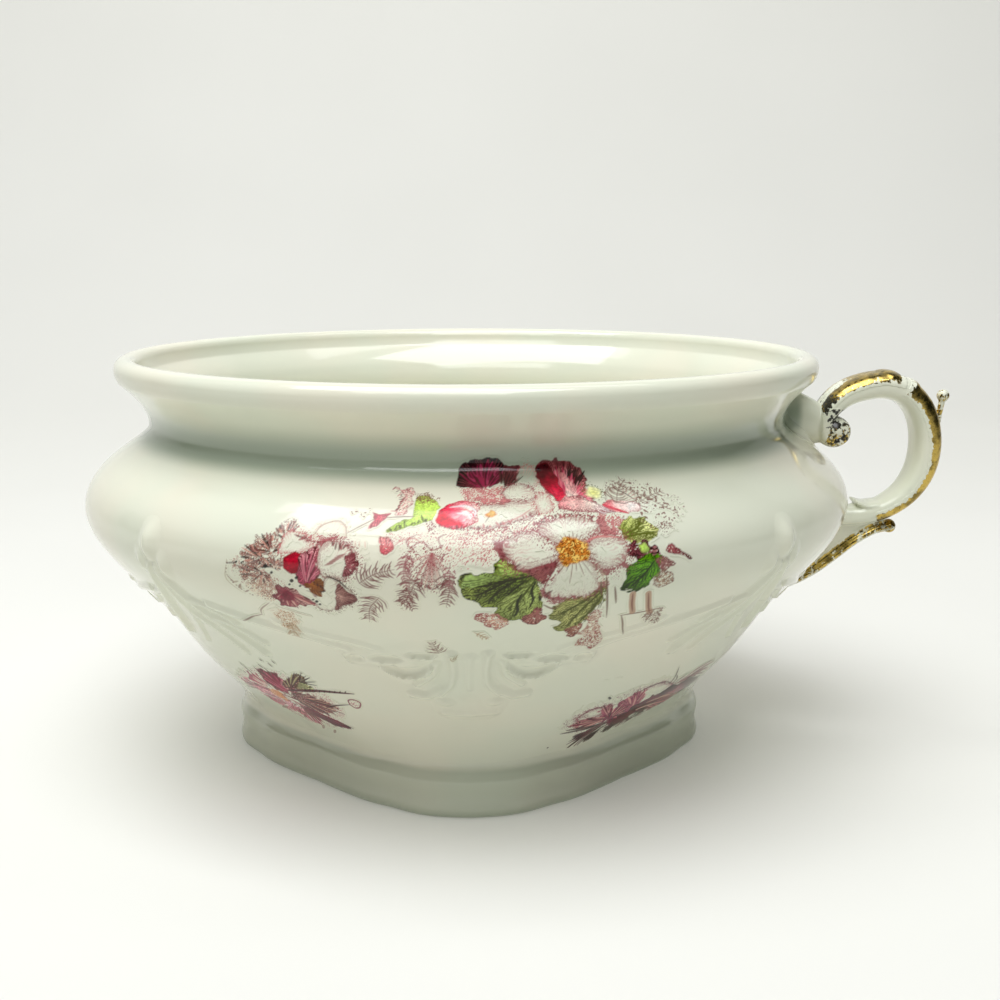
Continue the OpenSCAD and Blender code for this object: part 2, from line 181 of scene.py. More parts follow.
UNDERSIDE = [(0, FOOT_H), (40, FOOT_H), (66, FOOT_H), (73, FOOT_H)]
side = outer_profile(18)
inside = side - WALL * outward(side)
inside = inside[(inside[:, 1] > FLOOR_TURN[0][1] + 2) & (inside[:, 1] < RIM_ROLL[-1][1] - 2.5)]
pot_body = lathe("pot_body_shell", [*UNDERSIDE, *side, *RIM_ROLL, *inside[::-1], *FLOOR_TURN])
co, turn, radius = round_places(pot_body)
round_r = np.interp(co[:, 2], FINE[:, 1], FINE[:, 0])
is_under = co[:, 2] < FOOT_H + 0.1
is_outside = (co[:, 2] < FLAT_FADE_Z) & ((radius > round_r - 1.5) | is_under)
ease = np.where(is_under, np.clip(radius / CREASE[0], 0, 1)**2, 1)
shrink = np.where(is_outside, 1 - ease * flattening(turn, co[:, 2]) / np.maximum(radius, 1), 1)
co[:, :2] *= shrink[:, None]
set_points(pot_body, co * MM)


class Value:
    """A shader socket that can stand in a sum, so that shader maths reads as maths."""

    def __init__(self, tree, socket):
        self.tree, self.socket = tree, socket

    def node(self, kind, settings=(), out=0, **inputs):
        return shader_node(self.tree, kind, settings, out, **inputs)

    def maths(self, operation, a, b):
        return self.node("ShaderNodeMath", {"operation": operation}, i0=a, i1=b)

    def __add__(self, other): return self.maths("ADD", self, other)
    def __radd__(self, other): return self.maths("ADD", other, self)
    def __sub__(self, other): return self.maths("SUBTRACT", self, other)
    def __rsub__(self, other): return self.maths("SUBTRACT", other, self)
    def __mul__(self, other): return self.maths("MULTIPLY", self, other)
    def __rmul__(self, other): return self.maths("MULTIPLY", other, self)

    def between(self, low, high):
        """0 up to low, 1 from high, and a smooth ramp between."""
        return self.node("ShaderNodeMapRange", {"interpolation_type": "SMOOTHSTEP"},
                         Value=self, From_Min=low, From_Max=high)

    def tint(self, from_colour, to_colour):
        """From one colour to the other as this value goes from 0 to 1."""
        return self.node("ShaderNodeMix", {"data_type": "RGBA"}, out=2, i0=self, i6=from_colour,
                         i7=to_colour)


def shader_node(tree, kind, settings=(), out=0, **inputs):
    """Adds a node, with its settings first and then the values or links of its sockets."""
    made = tree.nodes.new(kind)
    for key, value in dict(settings).items():
        setattr(made, key, value)
    for key, value in inputs.items():
        at = int(key[1:]) if key[0] == "i" and key[1:].isdigit() else key.replace("_", " ")
        socket = made.inputs[at]
        if isinstance(value, Value):
            tree.links.new(value.socket, socket)
        else:
            is_colour = isinstance(value, tuple) and len(socket.default_value) == 4
            socket.default_value = (*value, 1) if is_colour else value
    return Value(tree, made.outputs[out])


def new_material(name):
    """A material, its node tree and its one surface shader."""
    made = bpy.data.materials.new(name)
    made.use_nodes = True
    return made, made.node_tree, made.node_tree.nodes["Principled BSDF"]


def feed(shader, name, value):
    """Links a value to one of the shader's sockets."""
    value.tree.links.new(value.socket, shader.inputs[name])


def noise(tree, scale, detail=2.0):
    where = shader_node(tree, "ShaderNodeTexCoord", out=3)
    return shader_node(tree, "ShaderNodeTexNoise", Vector=where, Scale=scale, Detail=detail)


GLAZE_WARM = (0.800, 0.778, 0.635)
GLAZE_COOL = (0.755, 0.776, 0.635)
# Painted shade: a darker, greener glaze colour laid in the neck hollow under the rim, over the foot and as
# a contact shadow along the foot's bottom edge, and the radii and heights where it lies.
GLAZE_PAINTED_SHADE = (0.40, 0.46, 0.355)
NECK_SHADE_HEIGHT = NECK[1] * MM
NECK_SHADE_R = (0.099, 0.101, 0.109, 0.112)
FOOT_SHADE_Z, CONTACT_SHADE_Z = (0.0138, 0.0154), (0.0, 0.004)
SPECKS_PER_METRE = 130.0
IRON_SPECK = (0.12, 0.10, 0.09)


def glaze_colour_and_shade(tree):
    """Uneven warm and greenish white with a few iron specks, painted darker and greener as shade in the
    neck hollow under the rim, over the foot and as a contact shadow along its bottom edge.
    """
    clouds = noise(tree, 22.0).between(0.35, 0.65)
    where = shader_node(tree, "ShaderNodeTexCoord", out=3)
    x, y, z = (shader_node(tree, "ShaderNodeSeparateXYZ", out=axis, i0=where) for axis in range(3))
    out_squared = x * x + y * y
    inner, inner_full, outer_full, outer = (r**2 for r in NECK_SHADE_R)
    neck_shade_ring = out_squared.between(inner, inner_full) * (1 - out_squared.between(outer_full, outer))
    # Painted shade in the neck hollow, over the foot and as a contact shadow along its bottom edge.
    neck_shade = (neck_shade_ring * z.between(NECK_SHADE_HEIGHT - 0.0065, NECK_SHADE_HEIGHT - 0.0025)
               * (1 - z.between(NECK_SHADE_HEIGHT + 0.001, NECK_SHADE_HEIGHT + 0.0095)))
    foot_shade, contact_shade = 1 - z.between(*FOOT_SHADE_Z), 1 - z.between(*CONTACT_SHADE_Z)
    painted_shade = neck_shade + foot_shade * 0.45 + contact_shade * 0.35
    white = painted_shade.tint(clouds.tint(GLAZE_WARM, GLAZE_COOL), GLAZE_PAINTED_SHADE)
    speck_cell = {"Vector": where, "Scale": SPECKS_PER_METRE}
    near = shader_node(tree, "ShaderNodeTexVoronoi", out=0, **speck_cell)
    which = shader_node(tree, "ShaderNodeTexVoronoi", out=1, **speck_cell)
    rare = which.node("ShaderNodeSeparateColor", i0=which).between(0.975, 0.98)
    return (rare * (1 - near.between(0.03, 0.06))).tint(white, IRON_SPECK)


def glaze_gloss(tree, shader):
    """Glossy surface that is a little wavy and, in places, a little dulled."""
    dulled = noise(tree, 60.0, 3.0).between(0.4, 0.75) * 0.06 + 0.07
    feed(shader, "Roughness", dulled)
    waves = noise(tree, 45.0, 1.0) + noise(tree, 420.0, 1.0) * 0.04
    bump = shader_node(tree, "ShaderNodeBump", Height=waves, Strength=0.10, Distance=0.0012)
    feed(shader, "Normal", bump)
    shader.inputs["IOR"].default_value = 1.5


glaze, tree, shader = new_material("white_glaze")
feed(shader, "Base Color", glaze_colour_and_shade(tree))
glaze_gloss(tree, shader)


def finish_piece(made, material, node):
    made.data.materials.clear()
    made.data.materials.append(material)
    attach(made, "root")
    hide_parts(node)


finish_piece(pot_body, glaze, "pot_body")

# Foot ring
# A pressed ring with four round lobes and flat sides between them, stuck on under the bowl with slip.
# Its edges are softened by the glaze, and it is open underneath.
FOOT_WALL = 8
FOOT_SECTION = [(0.7, 12.4), (0.38, 11.7), (0.3, 11.0), (0.5, 9.8), (0.8, 8.0), (0.8, 5.8), (0.4, 3.9),
                (0.12, 2.8), (0.15, 1.9), (0.5, 0.95), (1.3, 0.3), (2.5, 0.0), (FOOT_WALL - 1.6, 0.0),
                (FOOT_WALL - 0.6, 0.3), (FOOT_WALL, 1.2), (FOOT_WALL, 7.0), (FOOT_WALL, 14.6)]
HOLLOW_LOW, HOLLOW_TOP = 12.4, 16.8
HOLLOW_RISE = HOLLOW_TOP - HOLLOW_LOW
SEAT = 0.03
hollow = [(2.0, z) for z in np.linspace(HOLLOW_TOP, HOLLOW_LOW, 9)[:-1]]
section = [*hollow, *FOOT_SECTION, (FOOT_WALL, HOLLOW_TOP - 0.5), hollow[0]]
foot_ring = lathe("foot_ring_shell", [(LOBE_REACH - inset, z) for inset, z in section])
co, turn, radius = round_places(foot_ring)


def bowl_radius(turn, z):
    return np.interp(z, FINE[:, 1], FINE[:, 0]) - flattening(turn, z)


t = np.clip((co[:, 2] - HOLLOW_LOW) / HOLLOW_RISE, 0, 1)
low_r = foot_outline(turn) - FOOT_SECTION[0][0]
top_r = bowl_radius(turn, HOLLOW_TOP) + SEAT
low_lean = -0.25 * HOLLOW_RISE
top_lean = (top_r - SEAT - bowl_radius(turn, HOLLOW_TOP - 0.5)) * 2 * HOLLOW_RISE
in_hollow = ((2 * t**3 - 3 * t**2 + 1) * low_r + (t**3 - 2 * t**2 + t) * low_lean
             + (3 * t**2 - 2 * t**3) * top_r + (t**3 - t**2) * top_lean)
is_hollow = (co[:, 2] > HOLLOW_LOW + 0.1) & (radius > LOBE_REACH - 4)
wanted = np.where(is_hollow, in_hollow, radius - LOBE_REACH + foot_outline(turn))
co[:, :2] *= (wanted / radius)[:, None]
set_points(foot_ring, co * MM)
bpy.ops.object.shade_smooth_by_angle(angle=math.radians(50))
finish_piece(foot_ring, glaze, "foot_ring")

# Handle
# A cast scroll stuck to the neck and the flank: a broad strap that curls into a scroll under its arch,
# a thumb spur with a ball, and a thin tail leaf that runs on down the bowl. The glaze rounds every edge.
STRAP = [(121.9, 105.6, 1.9, 7.0), (123.6, 107.4, 2.0, 7.2), (125.8, 105.6, 2.1, 7.4),
         (125.3, 102.6, 2.2, 7.6), (122.2, 101.2, 2.3, 7.8), (119.2, 103.2, 2.5, 8.0),
         (118.9, 107.6, 2.9, 8.2), (121.6, 112.6, 3.4, 8.4), (126.0, 116.4, 3.9, 8.5),
         (132.0, 118.8, 4.3, 8.6), (139.0, 119.7, 4.5, 8.6), (146.0, 117.6, 4.5, 8.5),
         (151.2, 112.4, 4.5, 8.5), (153.9, 105.4, 4.5, 8.5), (154.4, 97.6, 4.5, 8.4),
         (152.8, 90.2, 4.3, 8.0), (148.8, 83.6, 3.9, 7.4), (143.0, 78.9, 3.6, 6.9), (136.6, 76.3, 3.4, 6.3),
         (129.5, 75.3, 3.3, 5.8), (119.6, 75.2, 3.3, 5.4)]
TAIL = [(142.8, 71.4, 1.7, 3.2), (138.2, 70.2, 1.6, 3.6), (131.4, 66.4, 1.6, 3.9), (124.4, 60.9, 1.6, 3.9),
        (117.6, 55.9, 1.6, 3.6), (110.0, 51.9, 1.5, 3.2), (101.0, 49.2, 1.4, 2.6)]
LOWER_LIP = [(138.5, 79.2, 1.5, 6.0), (134.6, 79.0, 1.2, 6.0), (131.0, 80.3, 0.7, 5.4)]
SPUR = [(157.0, 101.0, 1.2, 1.6), (158.1, 106.0, 1.2, 1.4), (158.9, 110.5, 1.05, 1.2),
        (159.7, 114.4, 1.0, 1.1)]
SPUR_BALL = (159.9, 115.9, 2.1)
TAIL_BEAD = (143.6, 71.3, 2.3)
ROOT = [(101.0, 109.6, 9.6, 8.6), (106.0, 109.4, 9.4, 8.0), (111.0, 108.6, 8.9, 7.3),
        (116.0, 107.4, 7.6, 6.8), (120.0, 106.4, 5.8, 6.4), (122.5, 105.6, 4.2, 6.2)]
WEB = [(106.0, 52.5), (117.0, 57.0), (124.0, 62.0), (131.0, 67.4), (138.0, 71.4), (142.0, 73.0),
       (141.0, 76.5), (131.0, 76.5), (116.0, 76.0), (106.0, 62.0)]
WEB_HALF_W = 2.6
STRAP_SIDES, STRAP_STEPS = 28, 5
ROOT_ROUND = 0.8
VOXEL = 0.42
CURL = (122.4, 105.0)
LEAF_BUMPS = [(140.6, 122.4, 4.8, 7.6, 2.3, 8), (148.4, 119.3, 3.4, 7.8, 2.3, 38)]


def smooth_path(points, per_span):
    """Even curve through the points, with whatever columns they have."""
    p = np.array(points, float)
    p = np.vstack([2 * p[0] - p[1], p, 2 * p[-1] - p[-2]])
    t = np.linspace(0, 1, per_span, endpoint=False)[:, None]
    spans = [(2 * b + (c - a) * t + (2 * a - 5 * b + 4 * c - d) * t**2
              + (3 * b - a - 3 * c + d) * t**3) / 2
             for a, b, c, d in zip(p[:-3], p[1:-2], p[2:-1], p[3:])]
    return np.vstack(spans + [p[-2:-1]])


def strap_point(row, heading, angle, squareness):
    """Point of a strap's oval section; 0 degrees is its outer back, and 90 the side towards the front."""
    c, s = np.cos(np.radians(angle)), np.sin(np.radians(angle))
    back = np.sign(c) * np.abs(c)**(2 / squareness) * row[2]
    across = np.sign(s) * np.abs(s)**(2 / squareness) * row[3]
    return np.stack([row[0] - heading[1] * back, -across, row[1] + heading[0] * back], -1) * MM


def headings(path):
    step = np.gradient(path[:, :2], axis=0)
    return step / np.linalg.norm(step, axis=1)[:, None]


def loft(name, rings):
    """Closed skin made by extruding a round face from ring to ring."""
    count = len(rings[0])
    bpy.ops.object.select_all(action="DESELECT")
    bpy.ops.mesh.primitive_circle_add(vertices=count, radius=MM, fill_type="NGON", location=(0, 0, 0))
    made = start(name)
    mesh = bmesh.from_edit_mesh(made.data)
    for vertex, point in zip(mesh.verts, rings[0]):
        vertex.co = point
    for before, ring in zip(rings[:-1], rings[1:]):
        bpy.ops.mesh.extrude_region_move()
        mesh = bmesh.from_edit_mesh(made.data)
        for vertex in [v for v in mesh.verts if v.select]:
            vertex.co = ring[int(np.argmin(np.linalg.norm(before - np.array(vertex.co), axis=1)))]
    bmesh.update_edit_mesh(made.data)
    close()
    return made


def strap(name, points, per_span, squareness, sides=STRAP_SIDES):
    path = smooth_path(points, per_span)
    angles = np.arange(sides) * 360 / sides
    return loft(name, [strap_point(row, h, angles, squareness) for row, h in zip(path, headings(path))])


def ball(name, x, z, radius, stretch=(1, 1, 1), lean=0):
    bpy.ops.object.select_all(action="DESELECT")
    bpy.ops.mesh.primitive_uv_sphere_add(
        segments=24, ring_count=16, radius=radius * MM, location=(x * MM, 0, z * MM),
        rotation=(0, math.radians(lean), 0), scale=stretch)
    made = bpy.context.object
    made.name = name
    bpy.ops.object.transform_apply(location=True, rotation=True, scale=True)
    return made


def join(name, made):
    bpy.ops.object.select_all(action="DESELECT")
    for part in made:
        part.select_set(True)
    bpy.context.view_layer.objects.active = made[0]
    bpy.ops.object.join()
    made[0].name = made[0].data.name = name
    return made[0]


def select_only(made):
    bpy.ops.object.select_all(action="DESELECT")
    made.select_set(True)
    bpy.context.view_layer.objects.active = made


def apply_modifier(made, kind, **settings):
    select_only(made)
    bpy.ops.object.modifier_add(type=kind)
    modifier = made.modifiers[-1]
    for key, value in settings.items():
        setattr(modifier, key, value)
    bpy.ops.object.modifier_apply(modifier=modifier.name)


def root_ring(x, z, half_high, half_wide):
    """Oval ring round the root of the handle, square to the x axis."""
    a = np.arange(STRAP_SIDES) * 2 * math.pi / STRAP_SIDES
    across = np.sign(np.sin(a)) * np.abs(np.sin(a))**ROOT_ROUND * half_wide
    up = z + np.sign(np.cos(a)) * np.abs(np.cos(a))**ROOT_ROUND * half_high
    return np.stack([np.full(STRAP_SIDES, x), across, up], -1) * MM


web_rings = [np.array([(x * MM, y * MM, z * MM) for x, z in WEB]) for y in (-WEB_HALF_W, WEB_HALF_W)]
handle = join("scroll_handle", [
    strap("strap", STRAP, STRAP_STEPS, 2.7), strap("tail", TAIL, STRAP_STEPS, 2.3),
    strap("lip", LOWER_LIP, 4, 2.3), strap("spur", SPUR, 4, 2.0, 16),
    ball("spur_ball", *SPUR_BALL), ball("tail_bead", *TAIL_BEAD, (1, 1.5, 1)),
    loft("root", [root_ring(*row) for row in ROOT]), loft("web", web_rings),
    ball("curl_core", *CURL, 1, (4.9, 9.0, 4.9)),
    *(ball("leaf_bump", x, z, 1, stretch, lean) for x, z, *stretch, lean in LEAF_BUMPS)])
handle.data.remesh_voxel_size = VOXEL * MM
bpy.ops.object.voxel_remesh()
apply_modifier(handle, "SMOOTH", factor=0.5, iterations=8)
bpy.ops.object.shade_smooth()
finish_piece(handle, glaze, "handle")

# Slip joints
# Soft ridges of clay slip, wiped round the root of the handle on the neck, and under its lower end
# and tail leaf. They are fired in one with the bowl and lie under the same glaze.
DEGREE_MM, NECK_DEGREE_MM = 2.06, 1.82
HANDLE_TURN = 90
UPPER_RISE, LOWER_RISE = 2.6, 2.2
SUNK, SKIN = 0.12, 0.4
FADED = 0.03


def keep_faces(made, marked):
    """Deletes the faces that touch no marked point."""
    corners = np.empty(len(made.data.loops), int)
    made.data.loops.foreach_get("vertex_index", corners)
    starts = np.empty(len(made.data.polygons), int)
    made.data.polygons.foreach_get("loop_start", starts)
    empty = ~np.logical_or.reduceat(np.asarray(marked)[corners], starts)
    select_only(made)
    bpy.context.tool_settings.mesh_select_mode = (False, False, True)
    made.data.vertices.foreach_set("select", np.zeros(len(made.data.vertices), bool))
    made.data.edges.foreach_set("select", np.zeros(len(made.data.edges), bool))
    made.data.polygons.foreach_set("select", empty)
    bpy.ops.object.mode_set(mode="EDIT")
    bpy.ops.mesh.delete(type="FACE")
    bpy.ops.mesh.select_all(action="SELECT")
    bpy.ops.mesh.delete_loose()
    bpy.context.tool_settings.mesh_select_mode = (True, False, False)
    bpy.ops.object.mode_set(mode="OBJECT")


def side_grid(turns, ups, cell):
    return np.meshgrid(np.arange(turns[0], turns[1], cell / DEGREE_MM), np.arange(ups[0], ups[1], cell))


def to_line(x, y, line):
    """Distance in mm from each place to a line of points in mm, and how far along it that is."""
    best, along = np.full(x.shape, 99.0), np.zeros(x.shape)
    for k, (a, b) in enumerate(zip(line[:-1], line[1:])):
        d = b - a
        t = np.clip(((x - a[0]) * d[0] + (y - a[1]) * d[1]) / max(d @ d, 1e-9), 0, 1)
        gap = np.hypot(x - a[0] - t * d[0], y - a[1] - t * d[1])
        along = np.where(gap < best, (k + t) / (len(line) - 1), along)
        best = np.minimum(best, gap)
    return best, along


def away_from(turn, up, line):
    """Distance in mm from each place on the side to a line of (turn, up) points."""
    return to_line(turn * DEGREE_MM, up, smooth_path(line, 5) * (DEGREE_MM, 1))[0]


def grid_of(shape):
    """A flat grid with a point for each cell of an array, and the row and column of each point."""
    bpy.ops.object.select_all(action="DESELECT")
    bpy.ops.mesh.primitive_grid_add(x_subdivisions=shape[1] - 1, y_subdivisions=shape[0] - 1, size=2)
    made = bpy.context.object
    flat = points_of(made)
    row = np.rint((flat[:, 1] + 1) / 2 * (shape[0] - 1)).astype(int)
    column = np.rint((flat[:, 0] + 1) / 2 * (shape[1] - 1)).astype(int)
    return made, row, column


def mould(name, turn, up, height, node, quarter_turns):
    """A raised form on the bowl's side, from heights in mm over a grid, run out below the glaze."""
    parts = []
    for quarter in quarter_turns:
        made, j, i = grid_of(turn.shape)
        set_points(made, on_side(turn[j, i] + 90 * quarter, up[j, i], height[j, i] - SUNK))
        keep_faces(made, height[j, i] > FADED)
        apply_modifier(made, "SOLIDIFY", thickness=SKIN * MM, offset=-1)
        parts.append(made)
    made = join(name, parts)
    bpy.ops.object.shade_smooth_by_angle(angle=math.radians(50))
    finish_piece(made, glaze, node)


turn, up = side_grid((82, 98), (95, 134), 0.5)
gap = np.hypot((turn - HANDLE_TURN) * NECK_DEGREE_MM / 8.4, (up - 116.5) / 10.5) - 1
height = UPPER_RISE * np.exp(-np.maximum(gap, 0) * 9 / 2.0)
mould("upper_slip_fillet", turn, up, height, "upper_slip_joint", [0])
turn, up = side_grid((82, 98), (36, 88), 0.5)
strap_end = np.hypot((turn - HANDLE_TURN) * DEGREE_MM / 5.6, (up - 75.5) / 4.4) - 1
tail_leaf = away_from(turn, up, [(HANDLE_TURN, 42), (HANDLE_TURN, 58), (HANDLE_TURN, 75)]) - 2.8
gap = np.minimum(np.maximum(strap_end, 0) * 5, np.maximum(tail_leaf, 0))
mould("lower_slip_fillet", turn, up, LOWER_RISE * np.exp(-gap / 1.3), "lower_slip_joint", [0])

# Moulded relief
# Low ornament pressed with the bowl and softened by the glaze: four palmettes, C-scrolls with hollowed
# eyes and long tendrils on both sides of each, and pendant buds with spreading ribs between them.


def ridges(turn, up, *lines):
    """The highest of some rounded ridges, each with its line, half width and height."""
    return np.max([high * np.exp(-(away_from(turn, up, line) / width)**2)
                   for line, width, high in lines], axis=0)


def bump(turn, up, centre, half_wide, half_high, high):
    return high * np.exp(-((turn - centre[0]) / half_wide)**2 - ((up - centre[1]) / half_high)**2)


def palmette(turn, up):
    both = np.abs(turn)
    bell = np.interp(up, [20, 25, 30, 36, 42, 50, 56], [3.5, 5.0, 6.2, 5.2, 3.6, 3.4, 3.0])
    beside = np.maximum(both - bell + 1.2, 0) * DEGREE_MM
    above, below = np.maximum(up - 50, 0), np.maximum(26 - up, 0)
    field = 0.6 * np.exp(-(beside / 3)**2 - (above / 3)**2 - (below / 3)**2)
    lines = ridges(both, up,
                   ([(2.7, 54), (2.5, 46), (3.0, 40), (4.8, 35.5)], 1.5, 1.4),
                   ([(5.0, 49.5), (5.8, 44), (8.4, 39.5)], 1.4, 1.15),
                   ([(4.6, 37.2), (7, 34), (9.6, 34.6)], 1.6, 1.05),
                   ([(0, 52), (0, 38)], 2.0, 0.95),
                   ([(0, 25.8), (4.6, 26.6)], 2.0, 1.0))
    knobs = bump(both, up, (4.0, 31.5), 1.9, 2.4, 1.3)
    return np.max([field, lines, knobs], axis=0) - bump(both, up, (0, 32.5), 1.5, 2.6, 0.45)


def scrolls(turn, up):
    both = np.abs(turn)
    ground = np.minimum(away_from(both, up, [(7.2, 54), (10.6, 50), (9.5, 46)]),
                        away_from(both, up, [(10.6, 50), (17, 51)]))
    lines = ridges(both, up,
                   ([(13.4, 47.6), (11.8, 44.2), (9.4, 42.8), (7.0, 44.2), (5.8, 47.4)], 1.15, 1.75),
                   ([(10.0, 50.6), (12.2, 49.4), (14.6, 50.6)], 0.9, 1.5),
                   ([(5.2, 53.2), (7.2, 52.4), (9.2, 53.4)], 0.85, 1.45),
                   ([(18.2, 48.6), (18.6, 52), (17.4, 54)], 0.9, 1.35),
                   ([(17.2, 54), (22, 58.5), (29, 62.6), (38, 67.6)], 1.7, 1.15),
                   ([(13, 55), (17, 58.6), (22, 61), (27, 65)], 1.5, 0.8))
    high = np.maximum(1.25 * np.exp(-(ground / 4.6)**2), lines)
    for along, middle, wide, tall, curve in ((9.5, 45.6, 3.2, 1.7, 0.22), (12.3, 51.7, 2.5, 1.4, 0),
                                             (7.2, 54.2, 2.1, 1.15, 0), (16.9, 50.8, 1.2, 1.7, 0)):
        spread = ((both - along) / wide)**2 + ((up - middle - curve * (both - along)**2) / tall)**2
        high = high * (1 - 0.95 * np.exp(-spread**2))
    return high


def pendant(turn, up):
    both = np.abs(turn - 45)
    buds = np.maximum(bump(both, up, (0, 87), 1.5, 4.6, 2.0), bump(both, up, (2.4, 80.6), 1.1, 3.6, 1.4))
    lines = ridges(both, up,
                   ([(0.8, 80), (2.6, 70), (5.6, 60), (10.5, 46)], 1.6, 1.5),
                   ([(0, 78), (0, 58)], 1.4, 1.1),
                   ([(2.8, 69), (6.8, 66), (9.8, 60)], 1.2, 1.15),
                   ([(4.2, 62.6), (8.6, 58.6), (12.4, 51.6)], 1.2, 1.15),
                   ([(0.4, 60), (2.6, 53), (5.6, 44)], 1.2, 1.0))
    return np.maximum(buds, lines)


def raised(turn, up):
    """Height in mm of the ornament over the bowl's plain side."""
    near = (turn + 45) % 90 - 45
    return np.max([palmette(near, up), scrolls(near, up), pendant(turn % 90, up)], axis=0)


for name, node, form, turns, ups, cell in (
        ("palmette_relief", "palmette_reliefs", palmette, (-13, 13.2), (17, 58), 0.55),
        ("scroll_relief", "scroll_reliefs", scrolls, (-43, 43.2), (36, 74), 0.6),
        ("pendant_relief", "pendant_reliefs", pendant, (29, 61.2), (32, 98), 0.6)):
    turn, up = side_grid(turns, ups, cell)
    mould(name, turn, up, form(turn, up), node, range(4))

# Printed flowers
# Wild roses printed from an engraved transfer in puce dots and lines, then tinted by hand with enamels
# and fired on the glaze: a wide spray over the shoulder and two small sprigs lower down.
FILM_LIFT = 0.07
FILM_THICKNESS = 0.14
OVERLAP_LIFT = 0.03
BARE = 0.03
CHANCES, GRAIN_SEED = 400, 7
LIT = 0.68
WARM_FIRED = np.array([1.0, 0.95, 0.78])


def ink(code):
    """Colour of an enamel from the screen code that it shows on the lit bowl."""
    part = np.array([int(code[k:k + 2], 16) for k in (0, 2, 4)]) / 255
    seen = np.where(part < 0.04045, part / 12.92, ((part + 0.055) / 1.055)**2.4)
    return np.minimum(seen * WARM_FIRED / LIT, 0.9)


def tones(codes):
    """Enamels from one tone to the next."""
    return [ink(code) for code in codes.split()]


PUCE, MAUVE, PLUM, SOOT = ink("a05c66"), ink("7c424c"), ink("4c1d24"), ink("1a080a")
MAROON = ink("5a0816")
LIME, LEAF, OLIVE, MOSS = ink("aacc64"), ink("7d9953"), ink("505628"), ink("2a2d10")
STAMEN, AMBER, UMBER, TWIG = ink("af6e2c"), ink("e1ae64"), ink("602f09"), ink("6a4c49")
WHITE = None


def blur(field, times):
    for _ in range(times):
        for axis in (0, 1):
            field = (np.roll(field, 1, axis) + 2 * field + np.roll(field, -1, axis)) / 4
    return field


def evened(field):
    """The same pattern with its values spread evenly from 0 to 1."""
    return np.argsort(np.argsort(field.ravel())).reshape(field.shape) / field.size


def ramp(value, low, high):
    t = np.clip((value - low) / (high - low), 0, 1)
    return t * t * (3 - 2 * t)


def ray(heading):
    """Step of 1 mm on the bowl along a heading, in turn and up."""
    return np.array([math.cos(heading) / DEGREE_MM, math.sin(heading)])


